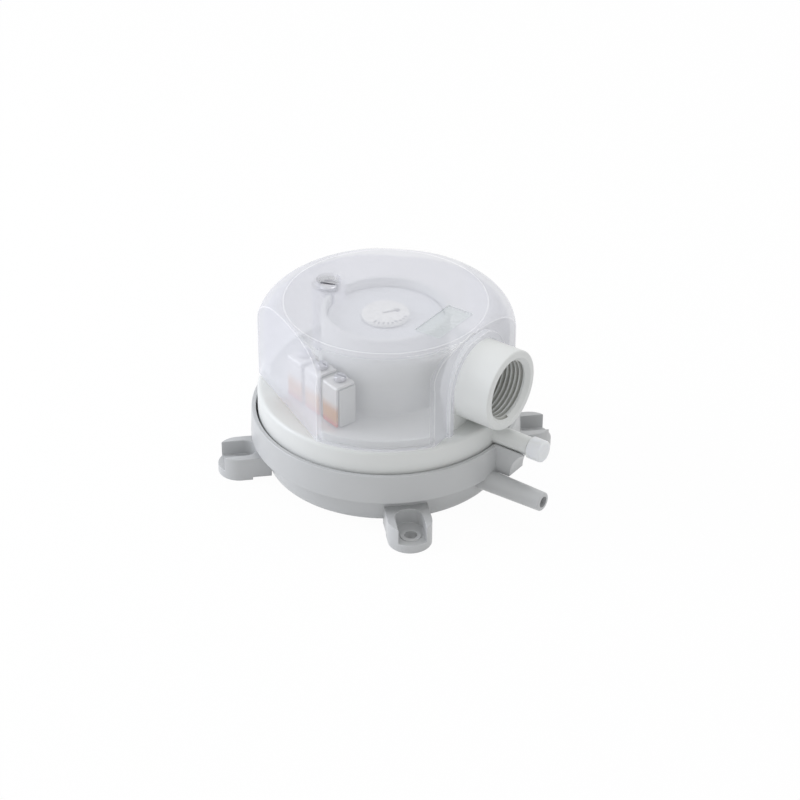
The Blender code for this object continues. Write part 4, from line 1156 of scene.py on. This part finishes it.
def make_floor():
    """Pale floor that looks white and keeps a soft shadow."""
    shape = bmesh.new()
    bmesh.ops.create_grid(shape, x_segments=2, y_segments=2, size=floor_half_size)
    floor = new_piece("studio_floor", shape)
    material, tree, shader = shader_of("pale_floor")
    shader.inputs["Base Color"].default_value = (*floor_colour, 1.0)
    shader.inputs["Roughness"].default_value = floor_roughness
    shader.inputs["Specular IOR Level"].default_value = 0.0
    glow = tree.nodes.new("ShaderNodeEmission")
    share = maths(tree, "MULTIPLY", seen_directly(tree), floor_whiteness)
    mixed(tree, share, shader, glow, "Material Output")
    floor.data.materials.append(material)


def make_world():
    """Soft even studio light, white where it is seen."""
    world = bpy.data.worlds.new("studio")
    bpy.context.scene.world = world
    world.use_nodes = True
    tree = world.node_tree
    soft = tree.nodes["Background"]
    soft.inputs["Color"].default_value = (1.0, 1.0, 1.0, 1.0)
    soft.inputs["Strength"].default_value = fill_strength
    white = tree.nodes.new("ShaderNodeBackground")
    white.inputs["Color"].default_value = (1.0, 1.0, 1.0, 1.0)
    mixed(tree, seen_directly(tree), soft, white, "World Output")


def make_lamp(name, direction, size, power, colour=(1.0, 1.0, 1.0)):
    """A square soft lamp that faces the object from the given direction."""
    light = bpy.data.lights.new(name, "AREA")
    light.shape = "SQUARE"
    light.size = size
    light.energy = power
    light.color = colour
    lamp = new_object(name, light)
    away = Vector(direction).normalized()
    lamp.location = camera_target + away * lamp_distance
    lamp.rotation_euler = away.to_track_quat("Z", "Y").to_euler()


def make_camera():
    """Camera at the photograph's angle, fitted to its outline."""
    azimuth = math.radians(camera_azimuth)
    elevation = math.radians(camera_elevation)
    back = Vector((math.sin(azimuth) * math.cos(elevation), -math.cos(azimuth) * math.cos(elevation),
                   math.sin(elevation)))
    data = bpy.data.cameras.new("camera")
    data.sensor_width = sensor_width
    data.lens = camera_lens
    data.shift_x = camera_shift_x
    data.shift_y = camera_shift_y
    data.clip_start = camera_near
    camera = new_object("camera", data)
    camera.location = camera_target + back * camera_distance
    camera.rotation_euler = back.to_track_quat("Z", "Y").to_euler()
    bpy.context.scene.camera = camera


def main():
    """Loads the frame, makes every piece, and sets the stage."""
    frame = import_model()
    make_camera()
    materials = make_materials()
    make_lower_housing(materials)
    make_upper_housing(materials)
    make_cover(materials)
    make_cover_screw(materials)
    make_cap(materials)
    make_knob(materials)
    make_scale(materials)
    make_switch(materials)
    make_spring(materials)
    finish_kept_nodes(frame["nodes"], materials)
    make_floor()
    make_world()
    make_lamp("key", key_direction, key_size, key_power, key_colour)
    make_lamp("rim", rim_direction, rim_size, rim_power)
    scene = bpy.context.scene
    scene.view_settings.view_transform = "Standard"
    scene.cycles.max_bounces = most_bounces
    scene.cycles.transmission_bounces = most_bounces_in_glass
    scene.cycles.transparent_max_bounces = most_bounces


main()
